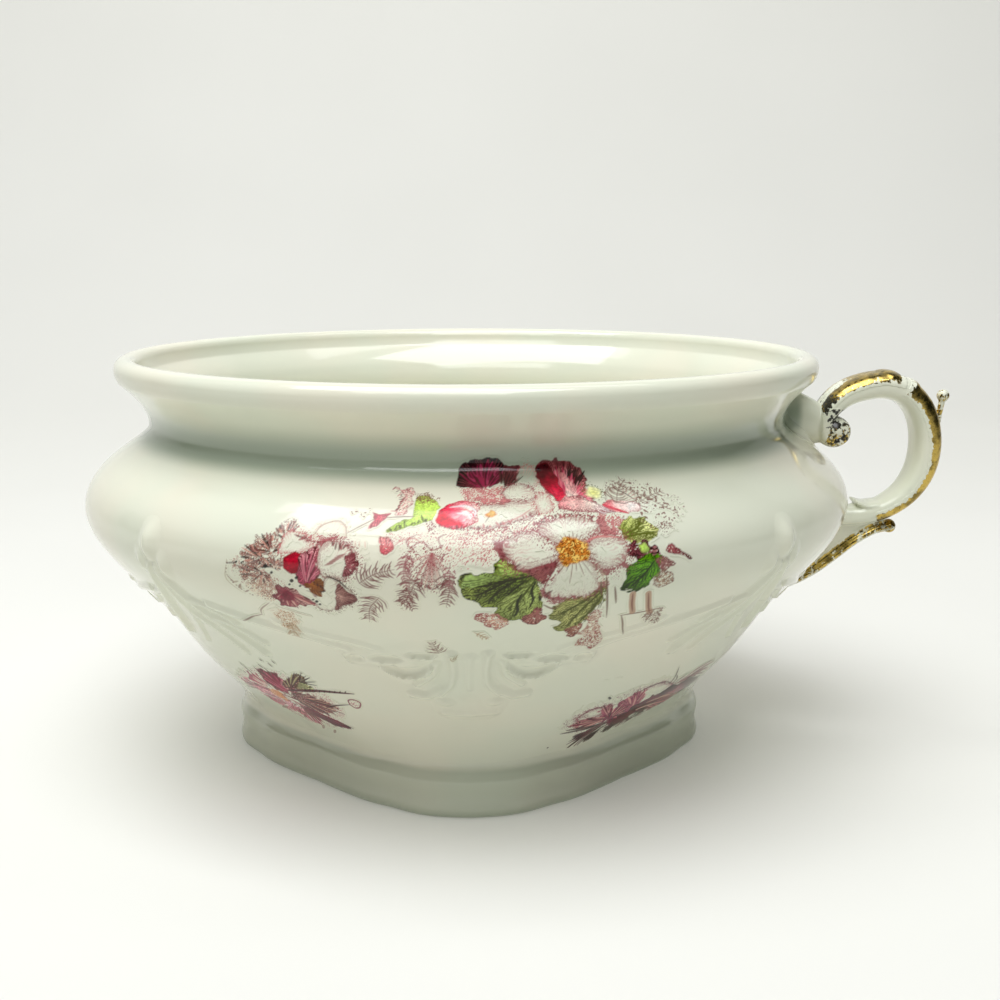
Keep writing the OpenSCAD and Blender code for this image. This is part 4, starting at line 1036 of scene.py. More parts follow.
def draw_left_spray(sheet):
    petal, stroke, dusting = sheet.petal, sheet.stroke, sheet.dusting
    feather, fringe, streaks = sheet.feather, sheet.fringe, sheet.streaks
    # Pale dotted flower and fern sprays in the middle
    dusting([(-9.5, 97.5), (-6, 98), (-2.2, 98), (-2.2, 93), (-6, 92), (-9.8, 94)], PUCE, 0.18)
    dusting([(-7.2, 91.6), (-4, 93), (-2.2, 91), (-2.2, 84.6), (-4, 82.2), (-6.8, 84.4)], PUCE, 0.15)
    dusting([(-9, 77), (-7.6, 84), (-7.6, 93), (-2.4, 94), (-1.8, 86), (-2.4, 76), (-3.4, 80), (-5.6, 82),
             (-7, 76)], MAUVE, 0.2)
    for k in range(17):
        chance, part = sheet.chances[k + 200], k / 16
        tip = (-7.1 + 5.0 * part, 88.6 - 6.4 * math.sin(math.pi * part)**0.6 + 1.6 * (chance - 0.5))
        stroke([(-4.3, 91.6), ((tip[0] - 4.3) / 2, (tip[1] + 91.6) / 2 + 0.3), tip], 0.4,
               MAUVE if k % 3 else PUCE, 0.55)
    for line in ([(-7, 92.6), (-5.6, 94.6), (-4.2, 92.4), (-2.6, 94.4)],
                 [(-7.1, 90.8), (-7.4, 87), (-6.4, 84.2)], [(-6.6, 92.2), (-7.4, 94.6), (-6.2, 96.6)],
                 [(-3.2, 93), (-3.6, 95.6), (-2.4, 97)]):
        stroke(line, 0.5, MAUVE, 0.6)
    fringe([(-7.2, 88), (-6.4, 84.4), (-4.6, 82.4), (-3, 83), (-2.2, 86)], 22, 1.5, [MAUVE, PLUM], 100)
    for spine, count, length in (([(-12.9, 83.4), (-11, 86), (-8.6, 87.4)], 15, 2.8),
                                 ([(-10.8, 79), (-12.2, 75), (-12.8, 69)], 15, 2.9),
                                 ([(-6.2, 84.6), (-7.0, 80.6), (-8.2, 76.6)], 13, 2.9),
                                 ([(-7.6, 80.2), (-7.3, 77.4), (-6.6, 75)], 8, 2.0),
                                 ([(-2.3, 86), (-2.3, 82), (-2.8, 76)], 15, 2.5)):
        feather(spine, count, length, ink("64383c"))
    for spine in ([(-7.2, 91), (-7.6, 87), (-7.2, 82)], [(-2.6, 92), (-2.2, 88), (-2.4, 82)]):
        feather(spine, 12, 1.8, ink("84505c"))
    petal([(-10.6, 95.6), (-9.5, 95.3), (-8.9, 93), (-9.7, 90.9), (-10.4, 91.6), (-10.6, 93.6)],
          (-10, 91.4), tones("b04c60 cc8890"), (MAUVE, 0.3, 0.6), (MAUVE, 0.4), cover=0.85, ragged=0.2,
          jag=0.4)
    stroke([(-8.8, 93.4), (-7.8, 95), (-6.4, 95.4), (-5.6, 94)], 0.35, PUCE, 0.7)
    # Star leaf with its bud
    petal([(-10, 112.4), (-8.6, 111.4), (-7.3, 112.2), (-7.5, 109), (-7.2, 106.6), (-8, 103.4),
           (-9.2, 102.4), (-8.9, 105.8), (-8.6, 108.4)], (-7.4, 107), tones("dcb4b8 c88c94"),
          (MAUVE, 0.3, 0.5), (MAUVE, 0.5), ragged=0.5, jag=0.8, cover=0.6)
    fringe([(-10, 112.4), (-8.6, 108.4), (-8.9, 105.8), (-9.2, 102.4)], 20, 1.4, [MAUVE, PUCE, PLUM], -60)
    petal([(-7, 107.3), (-6.5, 109.2), (-5.2, 108.8), (-4.1, 107.2), (-3.5, 104), (-3.9, 101.7),
           (-5.4, 100.2), (-7, 99), (-9.6, 97), (-9.9, 98), (-8.2, 100.6), (-7, 102)], (-5, 103),
          tones("b0d068 a8c860 90a848"), (OLIVE, 0.3, 0.4), (OLIVE, 0.2), ragged=0.2, jag=0.4)
    dusting([(-6.9, 109.8), (-5.4, 110.8), (-3.8, 108.4), (-4.6, 106.4), (-6.6, 106.6)], ink("6c4c3c"),
            0.5, 0.8)
    fringe([(-9.8, 97), (-8, 98.4), (-6.2, 100), (-4.8, 100.6)], 18, 1.9, [OLIVE, MOSS], 70)
    dusting([(-5.6, 100.2), (-3.6, 101.2), (-2.9, 98.6), (-4.8, 97)], MAUVE, 0.45, 0.8)
    stroke([(-6.8, 102), (-8.6, 101.8), (-11, 101.2)], 0.4, TWIG, 0.8)
    petal([(-12.4, 97.8), (-11.8, 101), (-12.3, 103.2), (-11.2, 102.5), (-9.8, 103), (-10.4, 101),
           (-11.5, 98.6)], (-11.4, 101.6), tones("a83c54 c07c88"), (MAUVE, 0.35, 0.6), (PLUM, 0.3),
          ragged=0.2, jag=0.4)
    stroke([(-11.8, 100.8), (-13, 99), (-15, 96)], 0.35, TWIG, 0.7)
    dusting([(-15, 104), (-12.5, 104.4), (-12.4, 102), (-14.6, 101.4)], TWIG, 0.14, coarse=True)
    for turn in (-13.6, -13.1, -12.4):
        stroke([(turn, 94.2), (turn + 0.15, 92.6)], 0.35, ink("b89c98"), 0.7)
    # Dotted petals round the open rose on the left
    dusting([(-30, 87), (-27, 92.6), (-24, 96), (-21.5, 93), (-22.5, 86), (-22, 80), (-25, 76),
             (-28.6, 80)], ink("94706c"), 0.26)
    for outline in ([(-24.4, 94.8), (-23.8, 98), (-22.2, 99.1), (-21.4, 97.2), (-22.8, 94.8)],
                    [(-26.8, 91.4), (-26.2, 94.2), (-24, 94.8), (-22.8, 92), (-24.3, 89.3), (-26, 89.2)],
                    [(-28.8, 88.6), (-27.8, 91.2), (-26.4, 90.6), (-25.3, 88), (-27.2, 86.2)],
                    [(-29.3, 85.6), (-28.6, 82.4), (-26, 80.2), (-24.4, 82), (-25.8, 84.6), (-27.6, 86)],
                    [(-26.4, 86.6), (-24.4, 88.8), (-22.6, 87.6), (-23.4, 84.4), (-25.2, 84.2)]):
        centre = np.mean(outline, axis=0)
        petal(outline, (centre + (-22, 86)) / 2, tones("c4a49c a88078 886460"), (PLUM, 0.3, 0.3),
              (PLUM, 0.35), ragged=1.1, jag=1.4, cover=0.4)
        streaks([*outline, outline[0]], (centre * 2 + (-22, 86)) / 3, 20,
                [ink("74484c"), ink("5c3034"), ink("a87874"), SOOT], 0.5)
    dusting([(-30, 87), (-24.5, 93), (-22.5, 90), (-23.5, 82), (-28, 79.5)], SOOT, 0.07, coarse=True)
    stroke([(-30.8, 84.6), (-31.2, 80.6), (-29.4, 76.4)], 0.4, ink("948c80"), 0.6)
    fringe([(-30.6, 86.6), (-30.9, 82), (-29.6, 78), (-27.6, 75.4)], 20, 1.8, [ink("8c8074"), TWIG], 60)
    stroke([(-30.6, 85.6), (-29, 86.3)], 0.5, SOOT, 0.6)
    petal([(-28, 81.4), (-25, 82), (-23.6, 78.6), (-25.4, 75), (-28, 77)], (-24, 80),
          tones("b09490 c4b4a8"), None, (TWIG, 0.5), soft=0.8, cover=0.45)
    petal([(-22.9, 90.6), (-22.6, 95.4), (-20, 95.6), (-18.8, 92.4), (-20.4, 90.4)], (-21.6, 90), WHITE,
          (PUCE, 0.35, 0.7), (PUCE, 0.3), ragged=0.5)
    petal([(-18.9, 94.6), (-18.6, 97.6), (-16.6, 99.6), (-15.2, 98), (-15, 95.4), (-16.6, 94.4)],
          (-17, 94), WHITE, (ink("b09c98"), 0.25, 0.6), (ink("ccb8b0"), 0.2))
    stroke([(-18.9, 95.6), (-18.2, 98.2), (-16.4, 99.8), (-15.2, 98.2), (-14.8, 95.6)], 0.4,
           ink("8c7470"), 0.7)
    dusting([(-20.6, 95.2), (-17, 95.4), (-15, 94.8), (-16.4, 92.8), (-19.6, 92.4)], ink("984c5c"), 0.5)
    fringe([(-20.8, 94.6), (-18.4, 93.4), (-15, 94.2)], 18, 2.2, [MAUVE, PLUM], 200)
    petal([(-22.5, 86), (-22.3, 89), (-21.2, 90.4), (-19.8, 90), (-20.1, 87.4), (-20.9, 85)], (-21, 85.4),
          tones("74081c 980c28 a41c34"), (MAROON, 0.5, 0.6), ragged=0.2, jag=0.5)
    petal([(-20.3, 90.2), (-18.4, 91.6), (-17.2, 88.6), (-17.8, 84.4), (-19.5, 81.2), (-20.8, 83),
           (-20.3, 87)], (-19, 82), tones("842844 a44c68 c48c9c"), (PLUM, 0.4, 0.7), (PLUM, 0.5))
    streaks([(-20.3, 90.2), (-18.4, 91.6), (-17.2, 88.6), (-17.8, 84.4)], (-19.6, 82), 20,
            [ink("c08498"), ink("8c3450"), ink("b46c84"), PLUM], 0.5)
    petal([(-18.2, 89), (-17.5, 92.6), (-15.8, 94.3), (-13.8, 92.6), (-13.2, 88.6), (-14.3, 85),
           (-16, 84.1), (-17.5, 85.4)], (-18, 86), WHITE, (MAUVE, 0.45, 0.85), (PUCE, 0.30))
    for k in range(6):
        stroke([(-17.1 + 0.3 * k, 87.6 + 0.5 * k), (-16 + 0.3 * k, 88.3 + 0.5 * k)], 0.4, MAUVE, 0.75)
    fringe([(-16.4, 93.6), (-14.4, 93), (-13.2, 89.6)], 14, 1.6, [PLUM, MAUVE], -100)
    petal([(-14.6, 90.6), (-13.6, 90.8), (-13.1, 88), (-13.9, 85.4), (-15, 84.9), (-14.6, 87.6)],
          (-14.8, 88), tones("a06470 804450"), (PLUM, 0.4, 0.7), (PLUM, 0.45), cover=0.85)
    petal([(-18.5, 80), (-16.6, 84.9), (-14.8, 82.4), (-13.9, 78.4), (-16, 74.4), (-18, 73.1),
           (-19.3, 75)], (-19, 79), WHITE, (TWIG, 0.35, 0.8), (ink("9c8c88"), 0.45))
    stroke([(-16.8, 84.8), (-15.4, 83.6), (-14.4, 81.2)], 0.5, SOOT, 0.8)
    petal([(-15.4, 83), (-14.7, 80.8), (-13.4, 78), (-15.5, 75.6), (-16.9, 73.1), (-16.2, 77),
           (-16.1, 80.5)], (-16.6, 79), tones("b49494 84605f 6c4448"), (PLUM, 0.35, 0.6), (PLUM, 0.4),
          ragged=0.2, jag=0.6)
    petal([(-19.6, 82.4), (-18, 84.2), (-17.1, 81.6), (-18.2, 78.8), (-19.2, 79.8)], (-19, 82),
          tones("8c5420 643810 7c5838"), None, (UMBER, 0.6), ragged=0.6)
    fringe([(-18.9, 83.4), (-17.6, 81.4), (-17.2, 79.4)], 12, 2.2, [UMBER, SOOT], -60)
    petal([(-24.5, 77), (-23.8, 80.2), (-21.8, 80.6), (-20.3, 78.4), (-18.9, 78.2), (-19.2, 75.4),
           (-21, 74.2), (-22.6, 72.4), (-24.2, 74)], (-24, 77), tones("681428 844050 b08c90 985c64"),
          (PLUM, 0.5, 0.6), (PLUM, 0.5), ragged=0.7)
    streaks([(-24.5, 77), (-22.6, 72.4), (-19.2, 75.4), (-20.3, 78.4)], (-22.8, 79), 26,
            [ink("642030"), ink("c09c9c"), ink("98505c"), PLUM, ink("ac7c80")], 0.55)
    petal([(-23.8, 78), (-22.6, 79.6), (-21.8, 77.6), (-22.4, 75.4), (-23.6, 75.6)], (-23, 77.4),
          tones("580a20 701c34"), soft=0.5, jag=0.5)
    petal([(-20.4, 79.6), (-19.7, 80), (-19.2, 77.6), (-19.6, 76.4), (-20.4, 77.2)], (-19.8, 78),
          [MAROON, PLUM], soft=0.3, jag=0.4)
    # Scrape where the print is lost, with black specks along it
    petal([(-25.2, 85.6), (-23, 85.2), (-20.8, 82.4), (-19.4, 79.2), (-17.8, 76.8), (-18.4, 75.2),
           (-20, 77.4), (-21.6, 80.8), (-24, 83.6)], (-21, 81), WHITE, soft=0.3)
    for turn, up, size in ((-29.2, 86.2, 0.5), (-28.4, 86.2, 0.4), (-25, 86, 1.0), (-24.2, 84.4, 0.6),
                           (-21.6, 82.6, 0.9), (-22, 81.4, 0.5), (-20.9, 83.6, 0.7), (-19, 76.2, 0.8),
                           (-18.7, 75.2, 0.6), (-19.4, 76.8, 0.5), (-20.6, 81.2, 0.5)):
        stroke([(turn, up), (turn + 0.12, up + 0.2)], size, ink("0c0a0a"), 0.95, taper=False)
    # Stems and faint hatched leaves below
    stroke([(-33.6, 63.4), (-30.4, 66), (-28.4, 67.8)], 0.45, TWIG, 0.8)
    stroke([(-28.6, 68), (-28, 70.4), (-26, 73.8)], 0.5, TWIG, 0.7)
    stroke([(-25.4, 73), (-22.4, 70.6), (-20.8, 69.6)], 0.4, ink("8c7c74"), 0.7)
    petal([(-26.6, 69.4), (-25, 71.4), (-23.4, 69.8), (-23.2, 66), (-24.6, 63), (-25.8, 65)], (-25, 71),
          tones("a88c7c b8a494"), None, (ink("84685c"), 0.5), soft=0.7, ragged=0.8, cover=0.55)
    feather([(-24.4, 65), (-24.8, 62.4), (-24.8, 58.6)], 9, 2.6, ink("9c8878"), 60)
    feather([(-4.4, 54.6), (-4.7, 57), (-5.2, 60.4)], 8, 2.2, TWIG, 65)
    feather([(-2.8, 52.6), (-2.3, 53), (-1.6, 52.6)], 3, 1.0, ink("948c7c"))


def draw_left_sprig(sheet):
    petal, stroke, dusting = sheet.petal, sheet.stroke, sheet.dusting
    fringe, streaks = sheet.fringe, sheet.streaks
    rust, bark, blood = ink("743840"), ink("4c2424"), ink("6c1028")
    dusting([(-52, 27), (-46, 33), (-38, 37), (-31, 36), (-26, 29), (-25, 20), (-31, 11), (-40, 9),
             (-49, 17)], PUCE, 0.2)
    # Pale petals spread to the left, streaked from the heart of the flower
    for outline, root in (([(-52, 25.4), (-47, 27), (-42, 25), (-40, 23), (-43, 20), (-48, 20.6)],
                           (-38, 24)),
                          ([(-49, 20), (-44, 21), (-39, 20), (-37, 17), (-41, 14), (-46, 16)], (-36, 22)),
                          ([(-41, 17), (-37, 19), (-34, 16), (-36, 10), (-39, 11)], (-35.6, 22))):
        petal(outline, root, tones("e4bcc4 d8a0ac bc7c88"), None, (MAUVE, 0.6), soft=1.0, ragged=1.2)
        streaks(outline, root, 22, [PUCE, ink("e8ccd2"), MAUVE, ink("a46470"), ink("f0e0e2")], 0.9)
    petal([(-47, 26.4), (-45, 31), (-42.4, 32.6), (-40.6, 29), (-42.4, 26)], (-41.4, 27),
          tones("e0c0bc c08088 8c3448"), (PLUM, 0.4, 0.4), (MAUVE, 0.4), soft=0.5, ragged=0.8)
    streaks([(-47, 26.4), (-45, 31), (-42.4, 32.6), (-40.6, 29)], (-40, 26), 16,
            [rust, ink("e8d0cc"), ink("a04458")])
    petal([(-41, 31), (-40, 35), (-36, 35.4), (-34.6, 32.4), (-35.6, 27.6), (-38.8, 26)], (-35.6, 26.4),
          tones("b06070 84183a 640c24"), (MAROON, 0.5, 0.5), (MAROON, 0.3), soft=0.4, ragged=0.8)
    streaks([(-41, 31), (-40, 35), (-36, 35.4), (-34.6, 32.4)], (-35.6, 26.4), 22,
            [blood, ink("94284c"), ink("b46878"), blood])
    petal([(-36.4, 30), (-35, 33.6), (-33.2, 31), (-33.8, 26.6)], (-36, 26), tones("dcb0b4 c08c94"),
          (MAUVE, 0.3, 0.4), (rust, 0.4), soft=0.5)
    # Orange heart and the white petal under it
    petal([(-43, 22.6), (-41.6, 25.4), (-39, 26), (-37.2, 23.6), (-39.6, 21.2)], (-38.4, 25),
          tones("b48440 c49868 d4b8a4"), None, (ink("a86c40"), 0.4), soft=0.8, ragged=0.7)
    petal([(-38.6, 24.8), (-35.8, 25.4), (-32.8, 21.6), (-34.6, 18.6), (-37.6, 20)], (-39, 24), WHITE,
          (MAUVE, 0.4, 0.8), (PUCE, 0.3), jag=1.6)
    streaks([(-38.6, 24.8), (-34, 23), (-34, 18.6), (-38, 19)], (-38.6, 24.4), 12, [PUCE, rust])
    # Brown leaves, stem and tendril to the right
    petal([(-36, 29.8), (-33.6, 34.8), (-30.6, 38), (-28.8, 37.2), (-30.2, 33), (-33, 29.4)], (-35, 29),
          tones("6c4438 7c6448 98906c"), (SOOT, 0.35, 0.4), (SOOT, 0.5), ragged=0.9, cover=0.8)
    streaks([(-36, 30.8), (-33.6, 35.4), (-30.6, 38.4), (-28.4, 36.8), (-30, 33)], (-34.6, 29), 24,
            [bark, ink("5c4c30"), ink("a8a884"), ink("483020")], 0.55)
    petal([(-32.6, 30), (-31, 33.6), (-28.8, 33.2), (-29.2, 30.6)], (-32.6, 30.4), tones("8c9464 b0b890"),
          None, (OLIVE, 0.6), soft=0.5, cover=0.8)
    for tip in ((-28, 37.2), (-27.2, 35.6), (-27.4, 33.8), (-29.4, 38.6)):
        stroke([(-31, 34), tip], 0.55, ink("443828"), 0.85)
    petal([(-36.4, 25.4), (-32.6, 28.4), (-29.2, 26.8), (-26, 24), (-28, 20), (-31.6, 17.8),
           (-34.4, 19.6)], (-35.8, 26), tones("643430 947468 bca898"), None, (PLUM, 0.6), soft=0.8,
          ragged=1.2, cover=0.75)
    streaks([(-36, 26), (-32.4, 28.6), (-29, 27), (-25.4, 24.2), (-27.4, 19.6), (-31.6, 17), (-34.4, 19)],
            (-35.8, 25.8), 46, [bark, rust, ink("5c3c2c"), ink("b49c8c"), bark], 0.6)
    petal([(-36.4, 20), (-33.8, 18.8), (-29.4, 15.6), (-26, 13), (-28.4, 11.8), (-32, 13.2),
           (-35.6, 16.4)], (-36.4, 20.4), tones("843440 642c30 5c2c2c"), (PLUM, 0.5, 0.4), (PLUM, 0.5),
          jag=0.8)
    streaks([(-34, 19.4), (-29.4, 16), (-25.6, 13), (-28.4, 11.4), (-33, 12.6)], (-37, 21), 24,
            [rust, bark, ink("843848")], 0.6)
    streaks([(-40, 14), (-37, 12.4), (-34.6, 11.6), (-33, 9.4)], (-36.6, 20.6), 16,
            [rust, ink("a08074"), bark], 0.7)
    stroke([(-35.6, 28.2), (-31.6, 29.8), (-27, 31.4), (-20.4, 32.2)], 1.3, ink("54282a"), 0.95)
    for k in range(9):
        stroke([(-31 + 1.1 * k, 29.6 + 0.3 * k), (-30.6 + 1.1 * k, 30.9 + 0.28 * k)], 0.5, ink("3c1818"),
               0.8)
    stroke([(-28.6, 22.4), (-25.6, 24.8), (-22.4, 26.4)], 0.65, ink("44201e"), 0.9)
    stroke([(-22.4, 26.4), (-22.2, 28.6), (-21, 29.2), (-20, 28), (-20.6, 25.6), (-21.6, 25),
            (-22.4, 26.4)], 0.6, ink("804c50"), 0.9, taper=False)
    dusting([(-22, 28.6), (-20.2, 28), (-20.6, 25.8), (-22, 26)], PUCE, 0.3)
    stroke([(-28.4, 20.6), (-26.8, 21.4), (-25, 20.4)], 0.5, TWIG, 0.8)
    for line in ([(-46.6, 13.6), (-42.6, 16.4)], [(-40.4, 11.6), (-38, 14.6)],
                 [(-37.4, 7.4), (-35.2, 10)], [(-52, 23), (-46, 25.6)], [(-54, 20), (-47, 23.4)],
                 [(-34, 6.8), (-32.2, 9)]):
        stroke(line, 1.1, ink("846c60"), 0.65)
    for line in ([(-41, 36.4), (-40.2, 34)], [(-39, 38.6), (-38.2, 37.2)], [(-36, 40.4), (-35.4, 39)],
                 [(-34.6, 42), (-34.2, 41)], [(-37.6, 41.4), (-37.2, 40.8)], [(-38, 37.4), (-37, 35)],
                 [(-45, 36), (-42.8, 32)]):
        stroke(line, 0.7, ink("544c38"), 0.85)
    fringe([(-46, 31), (-42, 34), (-37, 36)], 14, 1.6, [MAUVE, TWIG], 80)


def draw_right_sprig(sheet):
    petal, stroke, dusting, streaks = sheet.petal, sheet.stroke, sheet.dusting, sheet.streaks
    rust, wine, bark, moss = ink("80404a"), ink("581424"), ink("4c3428"), ink("484834")
    dusting([(19, 18), (25, 25), (33, 30), (43, 29), (52, 25), (57, 19), (49, 11), (38, 6), (27, 8),
             (20, 12)], MAUVE, 0.2)
    # Stalks and long leaves running out to the right
    for line in ([(45, 26), (48, 30), (53, 31.6)], [(45, 25), (49, 28), (54, 27.8)],
                 [(44, 25.4), (50, 26.4), (57, 23.2)], [(46, 25.6), (50, 29.2), (55, 29.8)],
                 [(46, 24.6), (51, 27.4), (56, 26)]):
        stroke(line, 1.2, rust, 0.75)
    petal([(46, 23.6), (49, 25.8), (54, 22.8), (58, 19), (55, 15), (50, 17), (46.6, 19.4)], (46.6, 22),
          tones("644c40 4c4434 68604c"), (MOSS, 0.5, 0.4), (MOSS, 0.5), soft=0.6, ragged=1.0, cover=0.85)
    streaks([(46, 24), (49, 26), (54, 23), (58.4, 19), (55, 14.6), (50, 16.6)], (45.6, 21.6), 34,
            [moss, bark, ink("846860"), moss], 0.7)
    for line in ([(41, 25), (41.2, 30), (40.2, 35.2)], [(42.4, 25.6), (42.4, 28.6), (41.4, 31)],
                 [(43, 25), (44, 28), (45.8, 30)]):
        stroke(line, 0.8, ink("5c5844"), 0.8)
    # Upper bloom: white petal behind, mauve petals round a deep red fold
    petal([(30, 24), (34, 25), (40, 23), (47, 23), (53, 19), (51, 12.4), (44, 10.6), (37, 8), (31, 12)],
          (38, 17), tones("5c1c30 8c4458 ac7080"), None, (PLUM, 0.4), soft=1.0, ragged=1.4, jag=1.6,
          cover=0.85)
    petal([(33, 27.2), (37, 29), (41.4, 26.6), (43.4, 23.8), (41.6, 19.4), (38.4, 19), (35.6, 20.4)],
          (38, 20), WHITE, (ink("845058"), 0.5, 0.85), (PUCE, 0.35))
    stroke([(33, 26.6), (36, 29), (39.4, 28.8), (42, 26.6)], 0.6, ink("5c4840"), 0.8)
    petal([(31, 25), (33.4, 28), (36, 24.6), (37, 20), (35.8, 15.6), (32.6, 17.2), (31, 21)], (36.6, 17),
          tones("8c4c58 b08084 a06c70"), None, (PLUM, 0.45), soft=0.7, ragged=1.1, cover=0.8)
    streaks([(31, 25), (33.4, 28.2), (35.8, 25), (36.8, 20)], (36.4, 16.4), 24,
            [rust, ink("c8a8a4"), MAUVE, ink("b07880")])
    petal([(35.8, 17.8), (38.4, 21), (41, 22), (44.8, 19.8), (45.6, 16.4), (42, 13.2), (38, 13.6)],
          (36.6, 16.6), [wine, ink("6c1c30"), ink("8c4450")], (MAROON, 0.5, 0.5), (MAROON, 0.4),
          ragged=0.9)
    streaks([(38.4, 21), (41, 22.2), (45, 20), (46, 16.4), (42, 13), (38, 13.4)], (36, 16.8), 30,
            [wine, ink("7c2c44"), ink("a06874"), MAROON])
    petal([(41.4, 22), (43, 25), (45.6, 24.2), (46, 21.4), (43.6, 20)], (41, 20), tones("64303c 3c141c"),
          (SOOT, 0.4, 0.4), (SOOT, 0.3), jag=0.6)
    petal([(44.6, 20), (48, 20.8), (52, 16.6), (50.4, 12.4), (45.6, 12), (42.4, 12.4), (44, 16)],
          (42, 16), tones("8c4450 a87478 b09088"), None, (PLUM, 0.45), soft=0.8, ragged=1.0, cover=0.85)
    streaks([(45, 20), (48.4, 21), (52.4, 16.6), (50.4, 12), (45.6, 11.6)], (41.6, 15.6), 30,
            [rust, ink("c8a8a0"), wine, ink("a87880")])
    for line in ([(40, 18), (44.6, 18.4), (49, 17.4)], [(38.6, 15), (42, 15.4), (46, 14.4)]):
        stroke(line, 0.8, ink("dcc4bc"), 0.8)
    petal([(33.4, 12.8), (36.6, 15), (40.2, 13.8), (39.6, 10.8), (36.8, 8.2), (34.2, 9.4)], (40.4, 14.4),
          tones("7c2438 641a2a"), (MAROON, 0.4, 0.4), (MAROON, 0.4), jag=0.8, ragged=0.9)
    streaks([(33, 12.8), (34, 9), (37, 8), (40, 10.6)], (40, 14.6), 16, [wine, ink("94505c"), bark])
    petal([(38.6, 12), (41.4, 12.6), (43, 10.4), (40, 9.6)], (40, 12.4), WHITE, (OLIVE, 0.4, 0.8),
          (bark, 0.4), jag=0.6)
    streaks([(39, 9.6), (43, 10), (46, 11)], (40.6, 12.6), 10, [moss, bark])
    streaks([(32.6, 8.8), (33, 6), (35.6, 5.8)], (36.4, 9.6), 16, [bark, ink("34241a"), ink("684c3c")], 0.9)
    # Lower bloom and its dark feathery leaves to the left
    petal([(22, 19.4), (24, 22), (27, 22.2), (28, 19.4), (25.4, 17.2), (22.6, 17.4)], (28.6, 18.4), WHITE,
          (ink("8c5058"), 0.6, 0.85), (MAUVE, 0.5))
    stroke([(21.8, 18.6), (24, 22.2), (27.4, 22.8)], 0.6, ink("744c4c"), 0.8)
    petal([(26, 22.2), (27.8, 23), (30.6, 18.4), (31.8, 14), (29.6, 13), (27.2, 17)], (31.4, 13),
          tones("843c4c a06870 ac8484"), None, (PLUM, 0.4), soft=0.6, ragged=0.9)
    streaks([(26, 22.4), (27.8, 23.2), (29.6, 20)], (31.6, 13.4), 14, [rust, ink("c8a8a4"), wine])
    petal([(21.4, 14.6), (24.6, 17.2), (29.8, 16.6), (28.6, 13.6), (24.6, 12.8)], (31, 15.4),
          tones("7c3c44 945c5c ac8880"), None, (PLUM, 0.4), soft=0.6, ragged=0.9)
    streaks([(21, 14.6), (24.4, 17.4), (22, 12.8), (25, 12)], (31, 15), 20, [rust, ink("c4a49c"), bark])
    dusting([(29, 20), (33, 21), (34.6, 16), (33, 12.4), (29.4, 13)], MAUVE, 0.5)
    streaks([(29, 20.6), (32.6, 21.6), (34.6, 16.4), (33, 11.6)], (31, 14), 26,
            [rust, wine, ink("ccaca4"), PUCE])
    for k in range(16):
        a, b = sheet.chances[30 + k], sheet.chances[60 + k]
        root, heading = (32 - 4 * a, 9.6 + 3 * b), math.radians(178 + 46 * k / 15)
        reach = 9 + 13 * a
        stroke([root, (root[0] + reach * math.cos(heading) / DEGREE_MM,
                       root[1] + reach * math.sin(heading))], 0.7 + 0.5 * b,
               (ink("544834"), bark, ink("7c685c"))[k % 3], 0.85)
    streaks([(27.4, 5.6), (28.6, 4), (30.6, 4.6)], (31.4, 9.4), 18, [bark, ink("34241a"), ink("583c2c")],
            0.9)
    streaks([(23.6, 8.6), (24.4, 6.6), (26, 6)], (28.6, 10.4), 14, [bark, ink("745048"), ink("583c2c")],
            0.9)
    stroke([(26.3, 27.4), (26.8, 26.6)], 0.9, ink("3c3c30"), 0.9, taper=False)


print_enamel, tree, shader = new_material("printed_enamel")
laid = shader_node(tree, "ShaderNodeAttribute", {"attribute_name": "ink"}, out=0)
amount = Value(tree, laid.socket.node.outputs[3])
bare = amount.tint(glaze_colour_and_shade(tree), (0, 0, 0))
both = shader_node(tree, "ShaderNodeMix", {"data_type": "RGBA", "blend_type": "ADD"}, out=2, i0=1.0,
                   i6=bare, i7=laid)
feed(shader, "Base Color", both)
glaze_gloss(tree, shader)
shader.inputs["Specular IOR Level"].default_value = 0.3


def lay_print(name, sheet, node, quarter_turns):
    """Lays a drawn sheet on the bowl as a thin fired film, cut to where it holds colour."""
    made, j, i = grid_of(sheet.x.shape)
    made.name = made.data.name = name
    lift = sheet.lift + np.maximum(sheet.raised - SUNK, 0)
    set_points(made, on_side(sheet.turn[i] + 90 * quarter_turns, sheet.up[j], lift[j, i]))
    inked = sheet.cover > BARE
    beside = [np.roll(inked, step, axis) for step in (1, -1) for axis in (0, 1)]
    inked = np.logical_or.reduce([inked, *beside])
    layer = made.data.color_attributes.new("ink", "FLOAT_COLOR", "POINT")
    values = np.column_stack([sheet.colour[j, i], sheet.cover[j, i]])
    layer.data.foreach_set("color", values.astype(np.float32).ravel())
    keep_faces(made, inked[j, i])
    apply_modifier(made, "SOLIDIFY", thickness=FILM_THICKNESS * MM, offset=-1)
    bpy.ops.object.shade_smooth_by_angle(angle=math.radians(40))
    finish_piece(made, print_enamel, node)


